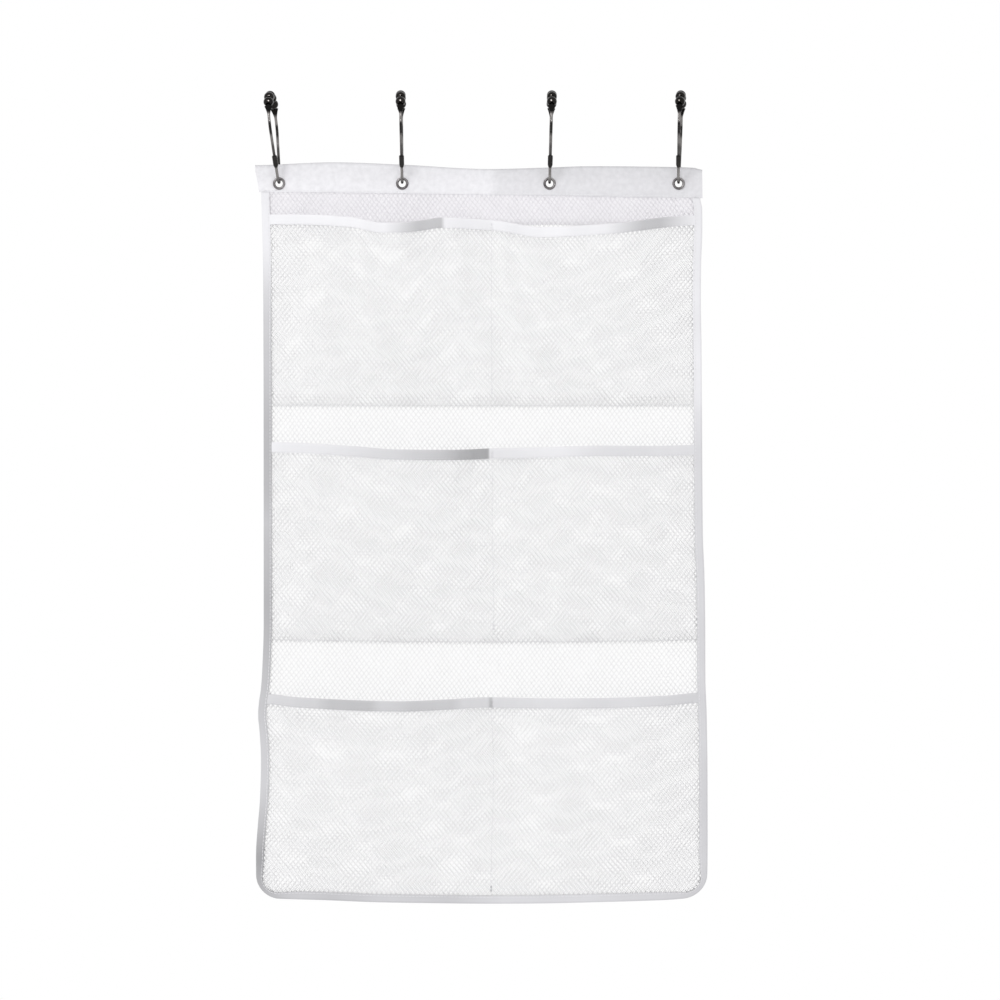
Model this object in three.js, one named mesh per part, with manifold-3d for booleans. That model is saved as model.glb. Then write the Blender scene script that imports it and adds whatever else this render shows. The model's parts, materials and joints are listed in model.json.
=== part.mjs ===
// Mesh shower organizer that hangs from a curtain rod by four roller rings.
// Millimetres. X runs along the rod, the pockets face -Y and Z is up.
// The origin is on the rod's axis, at the middle of the panel's width.

import * as THREE from "three";
import { mergeVertices } from "three/addons/utils/BufferGeometryUtils.js";
import Module from "manifold-3d";

const wasm = await Module();
wasm.setup();

// Panel and cloth
const PANEL_WIDTH = 376; // across the outside of the edge binding
const PANEL_HEIGHT = 622; // from the top of the hem to the bottom of the binding
const CORNER_RADIUS = 20; // lower corners, outside of the binding
const NET_THICKNESS = 0.6;
const LAYER_GAP = 0.3; // between layers of cloth that are sewn together
const BINDING_WIDTH = 7;
const BINDING_THICKNESS = 0.5;

// Top hem
const HEM_HEIGHT = 24.5;
const HEM_OVERHANG = 2; // how far the hem reaches past the binding at each side
const HEM_THICKNESS = 0.8;

// Pocket strips, from the top down. The lower strip ends in the bottom binding.
const UPPER_MOUTH_DROP = 45; // from the top of the hem
const UPPER_HEIGHT = 159;
const UPPER_SPACE = 34; // bare net below the upper strip
const MIDDLE_HEIGHT = 165;
const MIDDLE_SPACE = 46; // bare net below the middle strip
const SEAM_X = 8; // the seam that parts each strip into two pockets
const SEAM_WIDTH = 4;
const FOLD_HEIGHT = 9; // turned-up edge along the foot of the upper and middle strips
const FOLD_BEVEL = 0.5;
const POCKET_DEPTH = 18; // how far an empty pocket stands open at its mouth
const MOUTH_SAG = 5;

// Pocket tapes
const TAPE_HEIGHT = 9;
const TAPE_THICKNESS = 0.5;

// Gaps of the nets, drawn coarser than the real cloth
const GAP_COLUMNS = 9; // across the back net
const GAP_ROWS = 13;
const POCKET_GAP_COLUMNS = 5; // across one pocket
const POCKET_GAP_ROWS = 4;
const STRAND_WIDTH = 5;
const NET_BORDER = 11; // plain back net inside the binding
const HEADER_HEIGHT = 26; // doubled net below the hem

// Eyelets and washers
const EYELET_LEFT_INSET = 19; // from the end of the hem
const EYELET_RIGHT_INSET = 23.5;
const EYELET_LEFT_PITCH = 104; // between the two eyelets on the left
const EYELET_RIGHT_PITCH = 109;
const EYELET_LIFT = 9; // from the lower edge of the hem to the eyelet's centre
const EYELET_HOLE_RADIUS = 3.15;
const EYELET_WALL = 0.4;
const EYELET_FLANGE_WIDTH = 1.7; // from the barrel outwards
const EYELET_FLANGE_THICKNESS = 0.9;
const EYELET_CURL_WIDTH = 1.05; // from the barrel outwards
const EYELET_CURL_THICKNESS = 0.6;
const EYELET_ROUND = 0.35;
const WASHER_WIDTH = 1.15; // from its hole outwards
const WASHER_THICKNESS = 0.5;
const WASHER_BEVEL = 0.15;
const EYELET_SIDES = 16;

// Roller rings
const RING_DROP = 50; // from the rod's axis to the middle of the wire in the eyelet
const RING_RADIUS = 24; // middle of the wire along the top arc
const RING_FOOT_RADIUS = 8; // middle of the wire round the foot
const WIRE_RADIUS = 1.2;
const WIRE_SIDES = 7;
const WIRE_STEPS = 78;
const WIRE_CLEARANCE = 0.3; // between the wire and the eyelet that rests on it
const RING_LEANS = [-6, -1, 1.5, 1.5]; // degrees towards +X, as they hang
const RING_YAWS = [-5, 0, 0, -4]; // degrees about the upright

// Latch on the front leg: a socket on the lower end of the wire, which holds the upper end
const LATCH_DROP = 20.5; // from the top arc down the leg to the socket's mouth
const LATCH_GAP = 0.5; // between the upper end and the socket's floor
const SOCKET_LENGTH = 10;
const SOCKET_FLOOR = 3; // solid foot round the lower end of the wire
const SOCKET_TAPER = 2; // length in which the foot narrows to the wire
const SOCKET_CLEARANCE = 0.3; // round the upper end
const SOCKET_WALL = 0.6;
const SOCKET_SLIT = 2; // a little narrower than the wire, which snaps in through it
const SOCKET_SIDES = 12;

// Roller balls and the flattened stops that keep them on the arc
const BALL_RADIUS = 4.25;
const BALL_CLEARANCE = 0.8; // between the wire and a ball's bore, for the bend of the wire
const BALL_GAP = 0.3;
const BALLS_PER_RING = 5;
const BALL_SIDES = 9;
const BALL_RINGS = 6;
const STOP_WIDTH = 7.4;
const STOP_SHOULDER = 4; // degrees in which a stop widens
const STOP_TAPER = 20; // degrees in which it narrows again

const netCloth = new THREE.MeshStandardMaterial({ color: 0xf7f7f6, roughness: 0.85 });
const pocketCloth = new THREE.MeshStandardMaterial({ color: 0xefefee, roughness: 0.85 });
const hemCloth = new THREE.MeshStandardMaterial({ color: 0xf1f1f3, roughness: 0.8 });
const bindingTape = new THREE.MeshStandardMaterial({ color: 0xd6d6da, roughness: 0.5 });
const mouthTape = new THREE.MeshStandardMaterial({ color: 0xe2e2e6, roughness: 0.5 });
const plated = new THREE.MeshStandardMaterial({ color: 0x8d8a86, roughness: 0.25, metalness: 1 });
const steel = new THREE.MeshStandardMaterial({ color: 0x5c5956, roughness: 0.22, metalness: 1 });

const organizer = new THREE.Group();

function addPiece(parent, name, geometry, material) {
  const mesh = new THREE.Mesh(geometry, material);
  mesh.name = name;
  parent.add(mesh);
  return mesh;
}

function solidOf(geometry) {
  const bare = geometry.clone();
  bare.deleteAttribute("normal");
  bare.deleteAttribute("uv");
  const merged = mergeVertices(bare, 1e-4);
  const mesh = new wasm.Mesh({
    numProp: 3,
    vertProperties: new Float32Array(merged.attributes.position.array),
    triVerts: new Uint32Array(merged.index.array),
  });
  return new wasm.Manifold(mesh);
}

function geometryOf(solid) {
  const mesh = solid.getMesh();
  const geometry = new THREE.BufferGeometry();
  geometry.setAttribute("position", new THREE.BufferAttribute(mesh.vertProperties, 3));
  geometry.setIndex(new THREE.BufferAttribute(mesh.triVerts, 1));
  geometry.computeVertexNormals();
  return geometry;
}

// A plate whose outline is drawn in X and Z
function plate(shape, front, back, curveSegments = 6) {
  const geometry = new THREE.ExtrudeGeometry(shape, {
    depth: back - front,
    bevelEnabled: false,
    curveSegments,
  });
  geometry.rotateX(Math.PI / 2);
  geometry.translate(0, back, 0);
  return geometry;
}

// A length along X whose section is drawn in Y and Z
function bar(shape, length, steps) {
  const geometry = new THREE.ExtrudeGeometry(shape, { depth: length, steps, bevelEnabled: false });
  const alongX = new THREE.Matrix4().makeBasis(
    new THREE.Vector3(0, 1, 0),
    new THREE.Vector3(0, 0, 1),
    new THREE.Vector3(1, 0, 0),
  );
  geometry.applyMatrix4(alongX);
  geometry.translate(-length / 2, 0, 0);
  return geometry;
}

// A cloth folded over an edge at height 0: two leaves and the fold that joins them
function foldedSection(innerHalf, thickness, drop, gapAbove) {
  const outerHalf = innerHalf + thickness;
  return new THREE.Shape([
    new THREE.Vector2(-outerHalf, -drop),
    new THREE.Vector2(-innerHalf, -drop),
    new THREE.Vector2(-innerHalf, gapAbove),
    new THREE.Vector2(innerHalf, gapAbove),
    new THREE.Vector2(innerHalf, -drop),
    new THREE.Vector2(outerHalf, -drop),
    new THREE.Vector2(outerHalf, gapAbove + thickness),
    new THREE.Vector2(-outerHalf, gapAbove + thickness),
  ]);
}

// Heights and depths that the pieces share
const halfWidth = PANEL_WIDTH / 2;
const halfNet = NET_THICKNESS / 2;
const hemInner = halfNet + LAYER_GAP;
const hemOuter = hemInner + HEM_THICKNESS;
const eyeletFront = hemOuter + LAYER_GAP + EYELET_FLANGE_THICKNESS;
const washerFace = hemOuter + LAYER_GAP;
const curlFace = washerFace + WASHER_THICKNESS + LAYER_GAP;
const eyeletBack = curlFace + EYELET_CURL_THICKNESS;
const eyeletReach = Math.max(eyeletFront, eyeletBack);
const facetShare = Math.cos(Math.PI / EYELET_SIDES);

// The wire climbs on each side of the eyelet, so the eyelet sits a little lower than its hole allows
const footInner = RING_FOOT_RADIUS - WIRE_RADIUS;
const footClimb = footInner - Math.sqrt(footInner ** 2 - eyeletReach ** 2);
const eyeletSeat = EYELET_HOLE_RADIUS * facetShare - WIRE_RADIUS - WIRE_CLEARANCE - footClimb;
const eyeletZ = -RING_DROP - eyeletSeat;
const hemBottom = eyeletZ - EYELET_LIFT;
const hemTop = hemBottom + HEM_HEIGHT;
const panelBottom = hemTop - PANEL_HEIGHT;

const netInset = BINDING_THICKNESS + LAYER_GAP;
const netHalfWidth = halfWidth - netInset;
const netTop = hemTop - HEM_THICKNESS - LAYER_GAP;
const netBottom = panelBottom + netInset;
const netCorner = CORNER_RADIUS - netInset;
const hemHalfWidth = halfWidth + HEM_OVERHANG;

const eyeletXs = [
  -hemHalfWidth + EYELET_LEFT_INSET,
  -hemHalfWidth + EYELET_LEFT_INSET + EYELET_LEFT_PITCH,
  hemHalfWidth - EYELET_RIGHT_INSET - EYELET_RIGHT_PITCH,
  hemHalfWidth - EYELET_RIGHT_INSET,
];
const barrelRadius = EYELET_HOLE_RADIUS + EYELET_WALL;
const barrelHoleRadius = barrelRadius + LAYER_GAP / facetShare;

// Strip layers: sewn flat on the back net, or a tape's thickness away from it at the mouth
const sewnOffset = NET_THICKNESS + LAYER_GAP;
const mouthOffset = NET_THICKNESS + 2 * LAYER_GAP + TAPE_THICKNESS;
const bindingFront = mouthOffset + halfNet + LAYER_GAP + BINDING_THICKNESS;
const bindingBack = halfNet + LAYER_GAP + BINDING_THICKNESS;
const pocketHalfWidth = halfWidth - BINDING_WIDTH - LAYER_GAP;

const upperMouth = hemTop - UPPER_MOUTH_DROP;
const upperFoot = upperMouth - UPPER_HEIGHT;
const middleMouth = upperFoot - UPPER_SPACE;
const middleFoot = middleMouth - MIDDLE_HEIGHT;
const lowerMouth = middleFoot - MIDDLE_SPACE;

// The panel's outline, open at the top or closed, with round lower corners
function tracePanel(path, half, top, bottom, radius) {
  path.moveTo(-half, top);
  path.lineTo(-half, bottom + radius);
  path.absarc(-half + radius, bottom + radius, radius, Math.PI, 1.5 * Math.PI);
  path.lineTo(half - radius, bottom);
  path.absarc(half - radius, bottom + radius, radius, 1.5 * Math.PI, 2 * Math.PI);
  path.lineTo(half, top);
  return path;
}

function roundHole(x, z, radius) {
  return new THREE.Path().absarc(x, z, radius, 0, 2 * Math.PI);
}

// Back net: a doubled header, then staggered diamond gaps between slanting strands
function diamondGap(x, z, halfX, halfZ) {
  return new THREE.Path([
    new THREE.Vector2(x - halfX, z),
    new THREE.Vector2(x, z - halfZ),
    new THREE.Vector2(x + halfX, z),
    new THREE.Vector2(x, z + halfZ),
  ]);
}

function diamondGaps() {
  const inset = BINDING_WIDTH + NET_BORDER;
  const top = hemBottom - HEADER_HEIGHT;
  const bottom = panelBottom + inset;
  const pitchX = (PANEL_WIDTH - 2 * inset) / GAP_COLUMNS;
  const pitchZ = (top - bottom) / GAP_ROWS;
  const slant = Math.hypot(pitchX, pitchZ) / 2;
  const open = 1 - (STRAND_WIDTH * slant * 2) / (pitchX * pitchZ);
  const gaps = [];
  for (let row = 0; row < 2 * GAP_ROWS - 1; row += 1) {
    const shift = row % 2;
    for (let column = 0; column < GAP_COLUMNS - shift; column += 1) {
      const x = -halfWidth + inset + (column + (1 + shift) / 2) * pitchX;
      const z = top - ((row + 1) / 2) * pitchZ;
      gaps.push(diamondGap(x, z, (open * pitchX) / 2, (open * pitchZ) / 2));
    }
  }
  return gaps;
}

function backNet() {
  const shape = tracePanel(new THREE.Shape(), netHalfWidth, netTop, netBottom, netCorner);
  for (const x of eyeletXs) {
    shape.holes.push(roundHole(x, eyeletZ, barrelHoleRadius));
  }
  shape.holes.push(...diamondGaps());
  return plate(shape, -halfNet, halfNet, EYELET_SIDES / 2);
}

// Top hem: a strip folded over the head of the net and punched for the eyelets
function topHem() {
  const section = foldedSection(hemInner, HEM_THICKNESS, netTop - hemBottom, LAYER_GAP);
  const strip = bar(section, 2 * hemHalfWidth, 1);
  strip.translate(0, 0, netTop);
  let solid = solidOf(strip);
  for (const x of eyeletXs) {
    const punch = new THREE.CylinderGeometry(
      barrelHoleRadius,
      barrelHoleRadius,
      2 * eyeletReach,
      EYELET_SIDES,
    );
    punch.translate(x, 0, eyeletZ);
    solid = solid.subtract(solidOf(punch));
  }
  return geometryOf(solid);
}

// Edge binding: a tape folded round both sides and the bottom, with a slot for the cloth inside it
function edgeBinding() {
  const top = hemBottom - LAYER_GAP;
  const band = tracePanel(new THREE.Shape(), halfWidth, top, panelBottom, CORNER_RADIUS);
  const innerHalf = halfWidth - BINDING_WIDTH;
  const innerBottom = panelBottom + BINDING_WIDTH;
  const innerRadius = Math.max(CORNER_RADIUS - BINDING_WIDTH, LAYER_GAP);
  const arcX = innerHalf - innerRadius;
  const arcZ = innerBottom + innerRadius;
  band.lineTo(innerHalf, top);
  band.lineTo(innerHalf, arcZ);
  band.absarc(arcX, arcZ, innerRadius, 0, -Math.PI / 2, true);
  band.lineTo(-arcX, innerBottom);
  band.absarc(-arcX, arcZ, innerRadius, -Math.PI / 2, -Math.PI, true);
  band.lineTo(-innerHalf, top);
  const leaf = BINDING_THICKNESS;
  const slot = tracePanel(
    new THREE.Shape(),
    halfWidth - leaf,
    top + BINDING_WIDTH,
    panelBottom + leaf,
    CORNER_RADIUS - leaf,
  );
  const whole = solidOf(plate(band, -bindingFront, bindingBack));
  const cut = solidOf(plate(slot, leaf - bindingFront, bindingBack - leaf));
  return geometryOf(whole.subtract(cut));
}

// Both edges of each gap, as shares of a length that gaps fill with a strand between every two
function gapEdges(length, count) {
  const gap = (length - (count - 1) * STRAND_WIDTH) / count;
  const edges = [];
  for (let number = 0; number < count; number += 1) {
    const start = number * (gap + STRAND_WIDTH);
    edges.push({ share: start / length, opens: true });
    edges.push({ share: (start + gap) / length, opens: false });
  }
  return edges;
}

// Lines across a strip: its two edges and the edges of the gaps in both pockets
function columnLines() {
  const lines = [{ x: -netHalfWidth, swell: 0, opens: false }];
  const pockets = [
    [-pocketHalfWidth, SEAM_X - SEAM_WIDTH / 2],
    [SEAM_X + SEAM_WIDTH / 2, pocketHalfWidth],
  ];
  for (const [left, right] of pockets) {
    for (const { share, opens } of gapEdges(right - left, POCKET_GAP_COLUMNS)) {
      lines.push({ x: left + share * (right - left), swell: Math.sin(Math.PI * share), opens });
    }
  }
  lines.push({ x: netHalfWidth, swell: 0, opens: false });
  return lines;
}

const columns = columnLines();

// Lines up a strip: its flat foot, the gaps of the swelling pocket and the straight band in the mouth tape
function riseLines(height, flatFoot, foldThickness) {
  const lines = [{ z: 0, rise: 0, fold: foldThickness, opens: false }];
  if (foldThickness > 0) {
    lines.push({ z: flatFoot, rise: 0, fold: foldThickness, opens: false });
  }
  const start = flatFoot + FOLD_BEVEL;
  const end = height - TAPE_HEIGHT - LAYER_GAP;
  for (const { share, opens } of gapEdges(end - start, POCKET_GAP_ROWS)) {
    const rise = Math.sin((share * Math.PI) / 2);
    lines.push({ z: start + share * (end - start), rise, fold: 0, opens });
  }
  lines.push({ z: height, rise: 1, fold: 0, opens: false });
  return lines;
}

// A bent sheet over a grid of points, with its gaps left open and a wall along every edge.
// Its front and back are split on the same diagonals, so that it keeps its thickness.
function gappedSheet(across, up, isGap, placeOf) {
  const positions = [];
  const triangles = [];
  for (const isFront of [true, false]) {
    for (let row = 0; row <= up; row += 1) {
      for (let column = 0; column <= across; column += 1) {
        positions.push(...placeOf(column, row, isFront));
      }
    }
  }
  const behind = (across + 1) * (up + 1);
  const isCloth = (column, row) =>
    column >= 0 && column < across && row >= 0 && row < up && !isGap(column, row);
  const addQuad = (a, b, c, d) => triangles.push(a, b, c, a, c, d);
  for (let row = 0; row < up; row += 1) {
    for (let column = 0; column < across; column += 1) {
      if (!isCloth(column, row)) {
        continue;
      }
      const a = row * (across + 1) + column;
      const b = a + 1;
      const c = b + across + 1;
      const d = c - 1;
      addQuad(a, b, c, d);
      addQuad(a + behind, d + behind, c + behind, b + behind);
      const edges = [
        { from: a, to: b, isOuter: !isCloth(column, row - 1) },
        { from: b, to: c, isOuter: !isCloth(column + 1, row) },
        { from: c, to: d, isOuter: !isCloth(column, row + 1) },
        { from: d, to: a, isOuter: !isCloth(column - 1, row) },
      ];
      for (const { from, to } of edges.filter((edge) => edge.isOuter)) {
        addQuad(to, from, from + behind, to + behind);
      }
    }
  }
  const geometry = new THREE.BufferGeometry();
  geometry.setAttribute("position", new THREE.Float32BufferAttribute(positions, 3));
  geometry.setIndex(triangles);
  geometry.computeVertexNormals();
  return geometry;
}

function pocketStrip(mouth, foot, flatFoot, foldThickness) {
  const height = mouth - foot;
  const rises = riseLines(height, flatFoot, foldThickness);
  const isGap = (column, row) => columns[column].opens && rises[row].opens;
  return gappedSheet(columns.length - 1, rises.length - 1, isGap, (columnNumber, row, isFront) => {
    const column = columns[columnNumber];
    const line = rises[row];
    const sewn = sewnOffset + (mouthOffset - sewnOffset) * line.rise;
    const middle = -(sewn + POCKET_DEPTH * line.rise * column.swell);
    const face = isFront ? -halfNet - line.fold : halfNet;
    const drop = (MOUTH_SAG * column.swell * line.z) / height;
    return [column.x, middle + face, foot + line.z - drop];
  });
}

// The upper and middle strips are turned up at the foot, so the net is double there
function foldedStrip(mouth, foot) {
  return pocketStrip(mouth, foot, FOLD_HEIGHT, NET_THICKNESS);
}

// The lower strip's corners follow the panel's round corners inside the binding
function lowerStrip() {
  const strip = solidOf(pocketStrip(lowerMouth, netBottom, BINDING_WIDTH, 0));
  const outline = new THREE.Shape();
  tracePanel(outline, netHalfWidth, lowerMouth + TAPE_HEIGHT, netBottom, netCorner);
  const reach = mouthOffset + POCKET_DEPTH + NET_THICKNESS;
  return geometryOf(strip.intersect(solidOf(plate(outline, -reach, 0))));
}

// A mouth tape follows its strip's top edge from binding to binding
function pocketTape(mouth) {
  const section = foldedSection(halfNet + LAYER_GAP, TAPE_THICKNESS, TAPE_HEIGHT, LAYER_GAP);
  const inner = columns.slice(1, -1);
  const steps = inner.length - 1;
  const geometry = bar(section, 1, steps);
  const position = geometry.attributes.position;
  for (let i = 0; i < position.count; i += 1) {
    const column = inner[Math.round((position.getX(i) + 0.5) * steps)];
    const middle = -(mouthOffset + POCKET_DEPTH * column.swell);
    const z = mouth - MOUTH_SAG * column.swell + position.getZ(i);
    position.setXYZ(i, column.x, middle + position.getY(i), z);
  }
  return geometry;
}

// Turned pieces have their axis along Y, with the front at -Y
function turned(profile, sides) {
  const points = profile.map(([radius, y]) => new THREE.Vector2(radius, y));
  points.push(points[0].clone());
  return new THREE.LatheGeometry(points, sides);
}

// Eyelet: a domed front flange, a barrel through the cloth and a curl rolled over the washer
function eyelet() {
  const hole = EYELET_HOLE_RADIUS;
  const flangeBase = -hemOuter - LAYER_GAP;
  const flangeRadius = barrelRadius + EYELET_FLANGE_WIDTH;
  const curlRadius = barrelRadius + EYELET_CURL_WIDTH;
  return turned(
    [
      [hole, EYELET_ROUND - eyeletFront],
      [hole + EYELET_ROUND, -eyeletFront],
      [flangeRadius - 2 * EYELET_ROUND, EYELET_ROUND / 2 - eyeletFront],
      [flangeRadius, flangeBase - EYELET_ROUND],
      [flangeRadius, flangeBase],
      [barrelRadius, flangeBase],
      [barrelRadius, curlFace],
      [curlRadius, curlFace],
      [curlRadius - EYELET_ROUND, eyeletBack],
      [hole + EYELET_ROUND, eyeletBack],
      [hole, eyeletBack - EYELET_ROUND],
    ],
    EYELET_SIDES,
  );
}

function washer() {
  const back = washerFace + WASHER_THICKNESS;
  const rim = barrelHoleRadius + WASHER_WIDTH;
  return turned(
    [
      [barrelHoleRadius, washerFace],
      [rim, washerFace],
      [rim, back - WASHER_BEVEL],
      [rim - WASHER_BEVEL, back],
      [barrelHoleRadius, back],
    ],
    EYELET_SIDES,
  );
}

// Ring wire, drawn in its own plane: Y across, Z up, the middle of the foot at the origin.
// It starts in the foot of the latch socket, runs down the front leg, round the foot, up the back leg
// and over the top arc to the upper end, which the socket holds.
const quarter = Math.PI / 2;
const legSlope = Math.asin((RING_RADIUS - RING_FOOT_RADIUS) / (RING_DROP - RING_FOOT_RADIUS));
const legLength = (RING_DROP - RING_FOOT_RADIUS) * Math.cos(legSlope);
const legDown = new THREE.Vector3(0, Math.sin(legSlope), -Math.cos(legSlope));
const legOut = new THREE.Vector3(0, -Math.cos(legSlope), -Math.sin(legSlope));
const legTop = new THREE.Vector3(0, 0, RING_DROP).addScaledVector(legOut, RING_RADIUS);

// A point of the front leg, a distance below the top arc
function onLeg(below) {
  return legTop.clone().addScaledVector(legDown, below);
}

function onArc(centreZ, radius, angle) {
  return new THREE.Vector3(0, radius * Math.sin(angle), centreZ + radius * Math.cos(angle));
}

const socketDepth = SOCKET_LENGTH - SOCKET_FLOOR;
const upperEnd = LATCH_DROP + socketDepth - LATCH_GAP;
const lowerEnd = LATCH_DROP + SOCKET_LENGTH - SOCKET_FLOOR / 2;

function footAt(u) {
  const angle = THREE.MathUtils.lerp(-quarter - legSlope, -3 * quarter + legSlope, u);
  return onArc(RING_FOOT_RADIUS, RING_FOOT_RADIUS, angle);
}

function backLegAt(u) {
  const point = onLeg((1 - u) * legLength);
  point.y = -point.y;
  return point;
}

function topArcAt(u) {
  const angle = THREE.MathUtils.lerp(quarter + legSlope, -quarter - legSlope, u);
  return onArc(RING_DROP, RING_RADIUS, angle);
}

const wireStretches = [
  { length: legLength - lowerEnd, at: (u) => onLeg(THREE.MathUtils.lerp(lowerEnd, legLength, u)) },
  { length: 2 * RING_FOOT_RADIUS * (quarter - legSlope), at: footAt },
  { length: legLength, at: backLegAt },
  { length: 2 * RING_RADIUS * (quarter + legSlope), at: topArcAt },
  { length: upperEnd, at: (u) => onLeg(u * upperEnd) },
];
const wireLength = wireStretches.reduce((sum, stretch) => sum + stretch.length, 0);

class RingWire extends THREE.Curve {
  getPoint(t, target = new THREE.Vector3()) {
    let left = t * wireLength;
    for (const stretch of wireStretches) {
      if (left <= stretch.length) {
        return target.copy(stretch.at(left / stretch.length));
      }
      left -= stretch.length;
    }
    return target.copy(wireStretches.at(-1).at(1));
  }
}

// The balls' circle lies half a sagitta inside the wire's arc, which centres the bent wire in each bore
const boreRadius = WIRE_RADIUS + BALL_CLEARANCE;
const ballHalfLength = Math.sqrt(BALL_RADIUS ** 2 - boreRadius ** 2);
const boreSagitta = RING_RADIUS - Math.sqrt(RING_RADIUS ** 2 - ballHalfLength ** 2);
const ballCircle = RING_RADIUS - boreSagitta / 2;
const ballStep = 2 * Math.asin((2 * BALL_RADIUS + BALL_GAP) / (2 * ballCircle));
const lastBallAngle = (ballStep * (BALLS_PER_RING - 1)) / 2;
const stopStart = lastBallAngle + ballStep / 2;

// How much wider than the wire a stop is at an angle from the top of the arc
function stopWidening(angle) {
  const past = THREE.MathUtils.radToDeg(Math.abs(angle) - stopStart);
  if (past <= 0 || past >= STOP_SHOULDER + STOP_TAPER) {
    return 1;
  }
  const share = past < STOP_SHOULDER ? past / STOP_SHOULDER : 1 - (past - STOP_SHOULDER) / STOP_TAPER;
  return 1 + share * (STOP_WIDTH / (2 * WIRE_RADIUS) - 1);
}

// Latch socket: a turned sleeve with a solid foot, slit along the inside of the ring
function latchSocket() {
  const footRadius = WIRE_RADIUS + SOCKET_CLEARANCE;
  const innerRadius = footRadius / Math.cos(Math.PI / SOCKET_SIDES);
  const radius = innerRadius + SOCKET_WALL;
  const end = SOCKET_LENGTH / 2;
  const profile = [
    [0, -end],
    [footRadius, -end],
    [radius, SOCKET_TAPER - end],
    [radius, end],
    [0, end],
  ];
  const points = profile.map(([x, y]) => new THREE.Vector2(x, y));
  const sleeve = new THREE.LatheGeometry(points, SOCKET_SIDES);
  const bore = new THREE.CylinderGeometry(innerRadius, innerRadius, 2 * socketDepth, SOCKET_SIDES);
  bore.translate(0, end, 0);
  const slit = new THREE.BoxGeometry(SOCKET_SLIT, 2 * socketDepth, 2 * radius);
  slit.translate(0, end, -radius);
  const socket = geometryOf(solidOf(sleeve).subtract(solidOf(bore)).subtract(solidOf(slit)));
  socket.rotateX(quarter + legSlope);
  const place = onLeg(LATCH_DROP + end);
  return socket.translate(place.x, place.y, place.z);
}

function ringWire() {
  const corners = [];
  for (let side = 0; side < WIRE_SIDES; side += 1) {
    const angle = (2 * Math.PI * side) / WIRE_SIDES;
    corners.push(new THREE.Vector2(WIRE_RADIUS * Math.cos(angle), WIRE_RADIUS * Math.sin(angle)));
  }
  const geometry = new THREE.ExtrudeGeometry(new THREE.Shape(corners), {
    steps: WIRE_STEPS,
    extrudePath: new RingWire(),
    bevelEnabled: false,
  });
  const position = geometry.attributes.position;
  for (let i = 0; i < position.count; i += 1) {
    const angle = Math.atan2(position.getY(i), position.getZ(i) - RING_DROP);
    position.setX(i, position.getX(i) * stopWidening(angle));
  }
  return geometryOf(solidOf(geometry).add(solidOf(latchSocket())));
}

function rollerBall() {
  const edge = Math.asin(ballHalfLength / BALL_RADIUS);
  const profile = [];
  for (let ring = 0; ring <= BALL_RINGS; ring += 1) {
    const angle = THREE.MathUtils.lerp(-edge, edge, ring / BALL_RINGS);
    profile.push([BALL_RADIUS * Math.cos(angle), BALL_RADIUS * Math.sin(angle)]);
  }
  return turned(profile, BALL_SIDES);
}

function addRing(number, x, lean, yaw) {
  const ring = new THREE.Group();
  ring.position.set(x, 0, -RING_DROP);
  ring.rotation.set(0, THREE.MathUtils.degToRad(lean), THREE.MathUtils.degToRad(yaw), "ZYX");
  organizer.add(ring);
  addPiece(ring, `ring_${number}_wire`, ringWire(), steel);
  for (let ball = 0; ball < BALLS_PER_RING; ball += 1) {
    const angle = ball * ballStep - lastBallAngle;
    const mesh = addPiece(ring, `ring_${number}_ball_${ball + 1}`, rollerBall(), steel);
    mesh.position.set(0, ballCircle * Math.sin(angle), RING_DROP + ballCircle * Math.cos(angle));
    mesh.rotation.x = -angle;
  }
}

addPiece(organizer, "back_mesh", backNet(), netCloth);
addPiece(organizer, "top_hem", topHem(), hemCloth);
addPiece(organizer, "edge_binding", edgeBinding(), bindingTape);
addPiece(organizer, "upper_pocket_mesh", foldedStrip(upperMouth, upperFoot), pocketCloth);
addPiece(organizer, "middle_pocket_mesh", foldedStrip(middleMouth, middleFoot), pocketCloth);
addPiece(organizer, "lower_pocket_mesh", lowerStrip(), pocketCloth);
addPiece(organizer, "upper_pocket_tape", pocketTape(upperMouth), mouthTape);
addPiece(organizer, "middle_pocket_tape", pocketTape(middleMouth), mouthTape);
addPiece(organizer, "lower_pocket_tape", pocketTape(lowerMouth), mouthTape);

eyeletXs.forEach((x, index) => {
  const number = index + 1;
  addPiece(organizer, `eyelet_${number}`, eyelet(), plated).position.set(x, 0, eyeletZ);
  addPiece(organizer, `eyelet_washer_${number}`, washer(), plated).position.set(x, 0, eyeletZ);
  addRing(number, x, RING_LEANS[index], RING_YAWS[index]);
});

export default organizer;
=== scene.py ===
# Mesh shower organizer: a net panel with three rows of net pockets, hung by four roller rings.
# Cloth is laid out as it lies flat, and hang() then gives it the sag of the hanging panel.
# Lengths are in millimetres, but in metres for materials and lamps.

import json
import math

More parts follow.
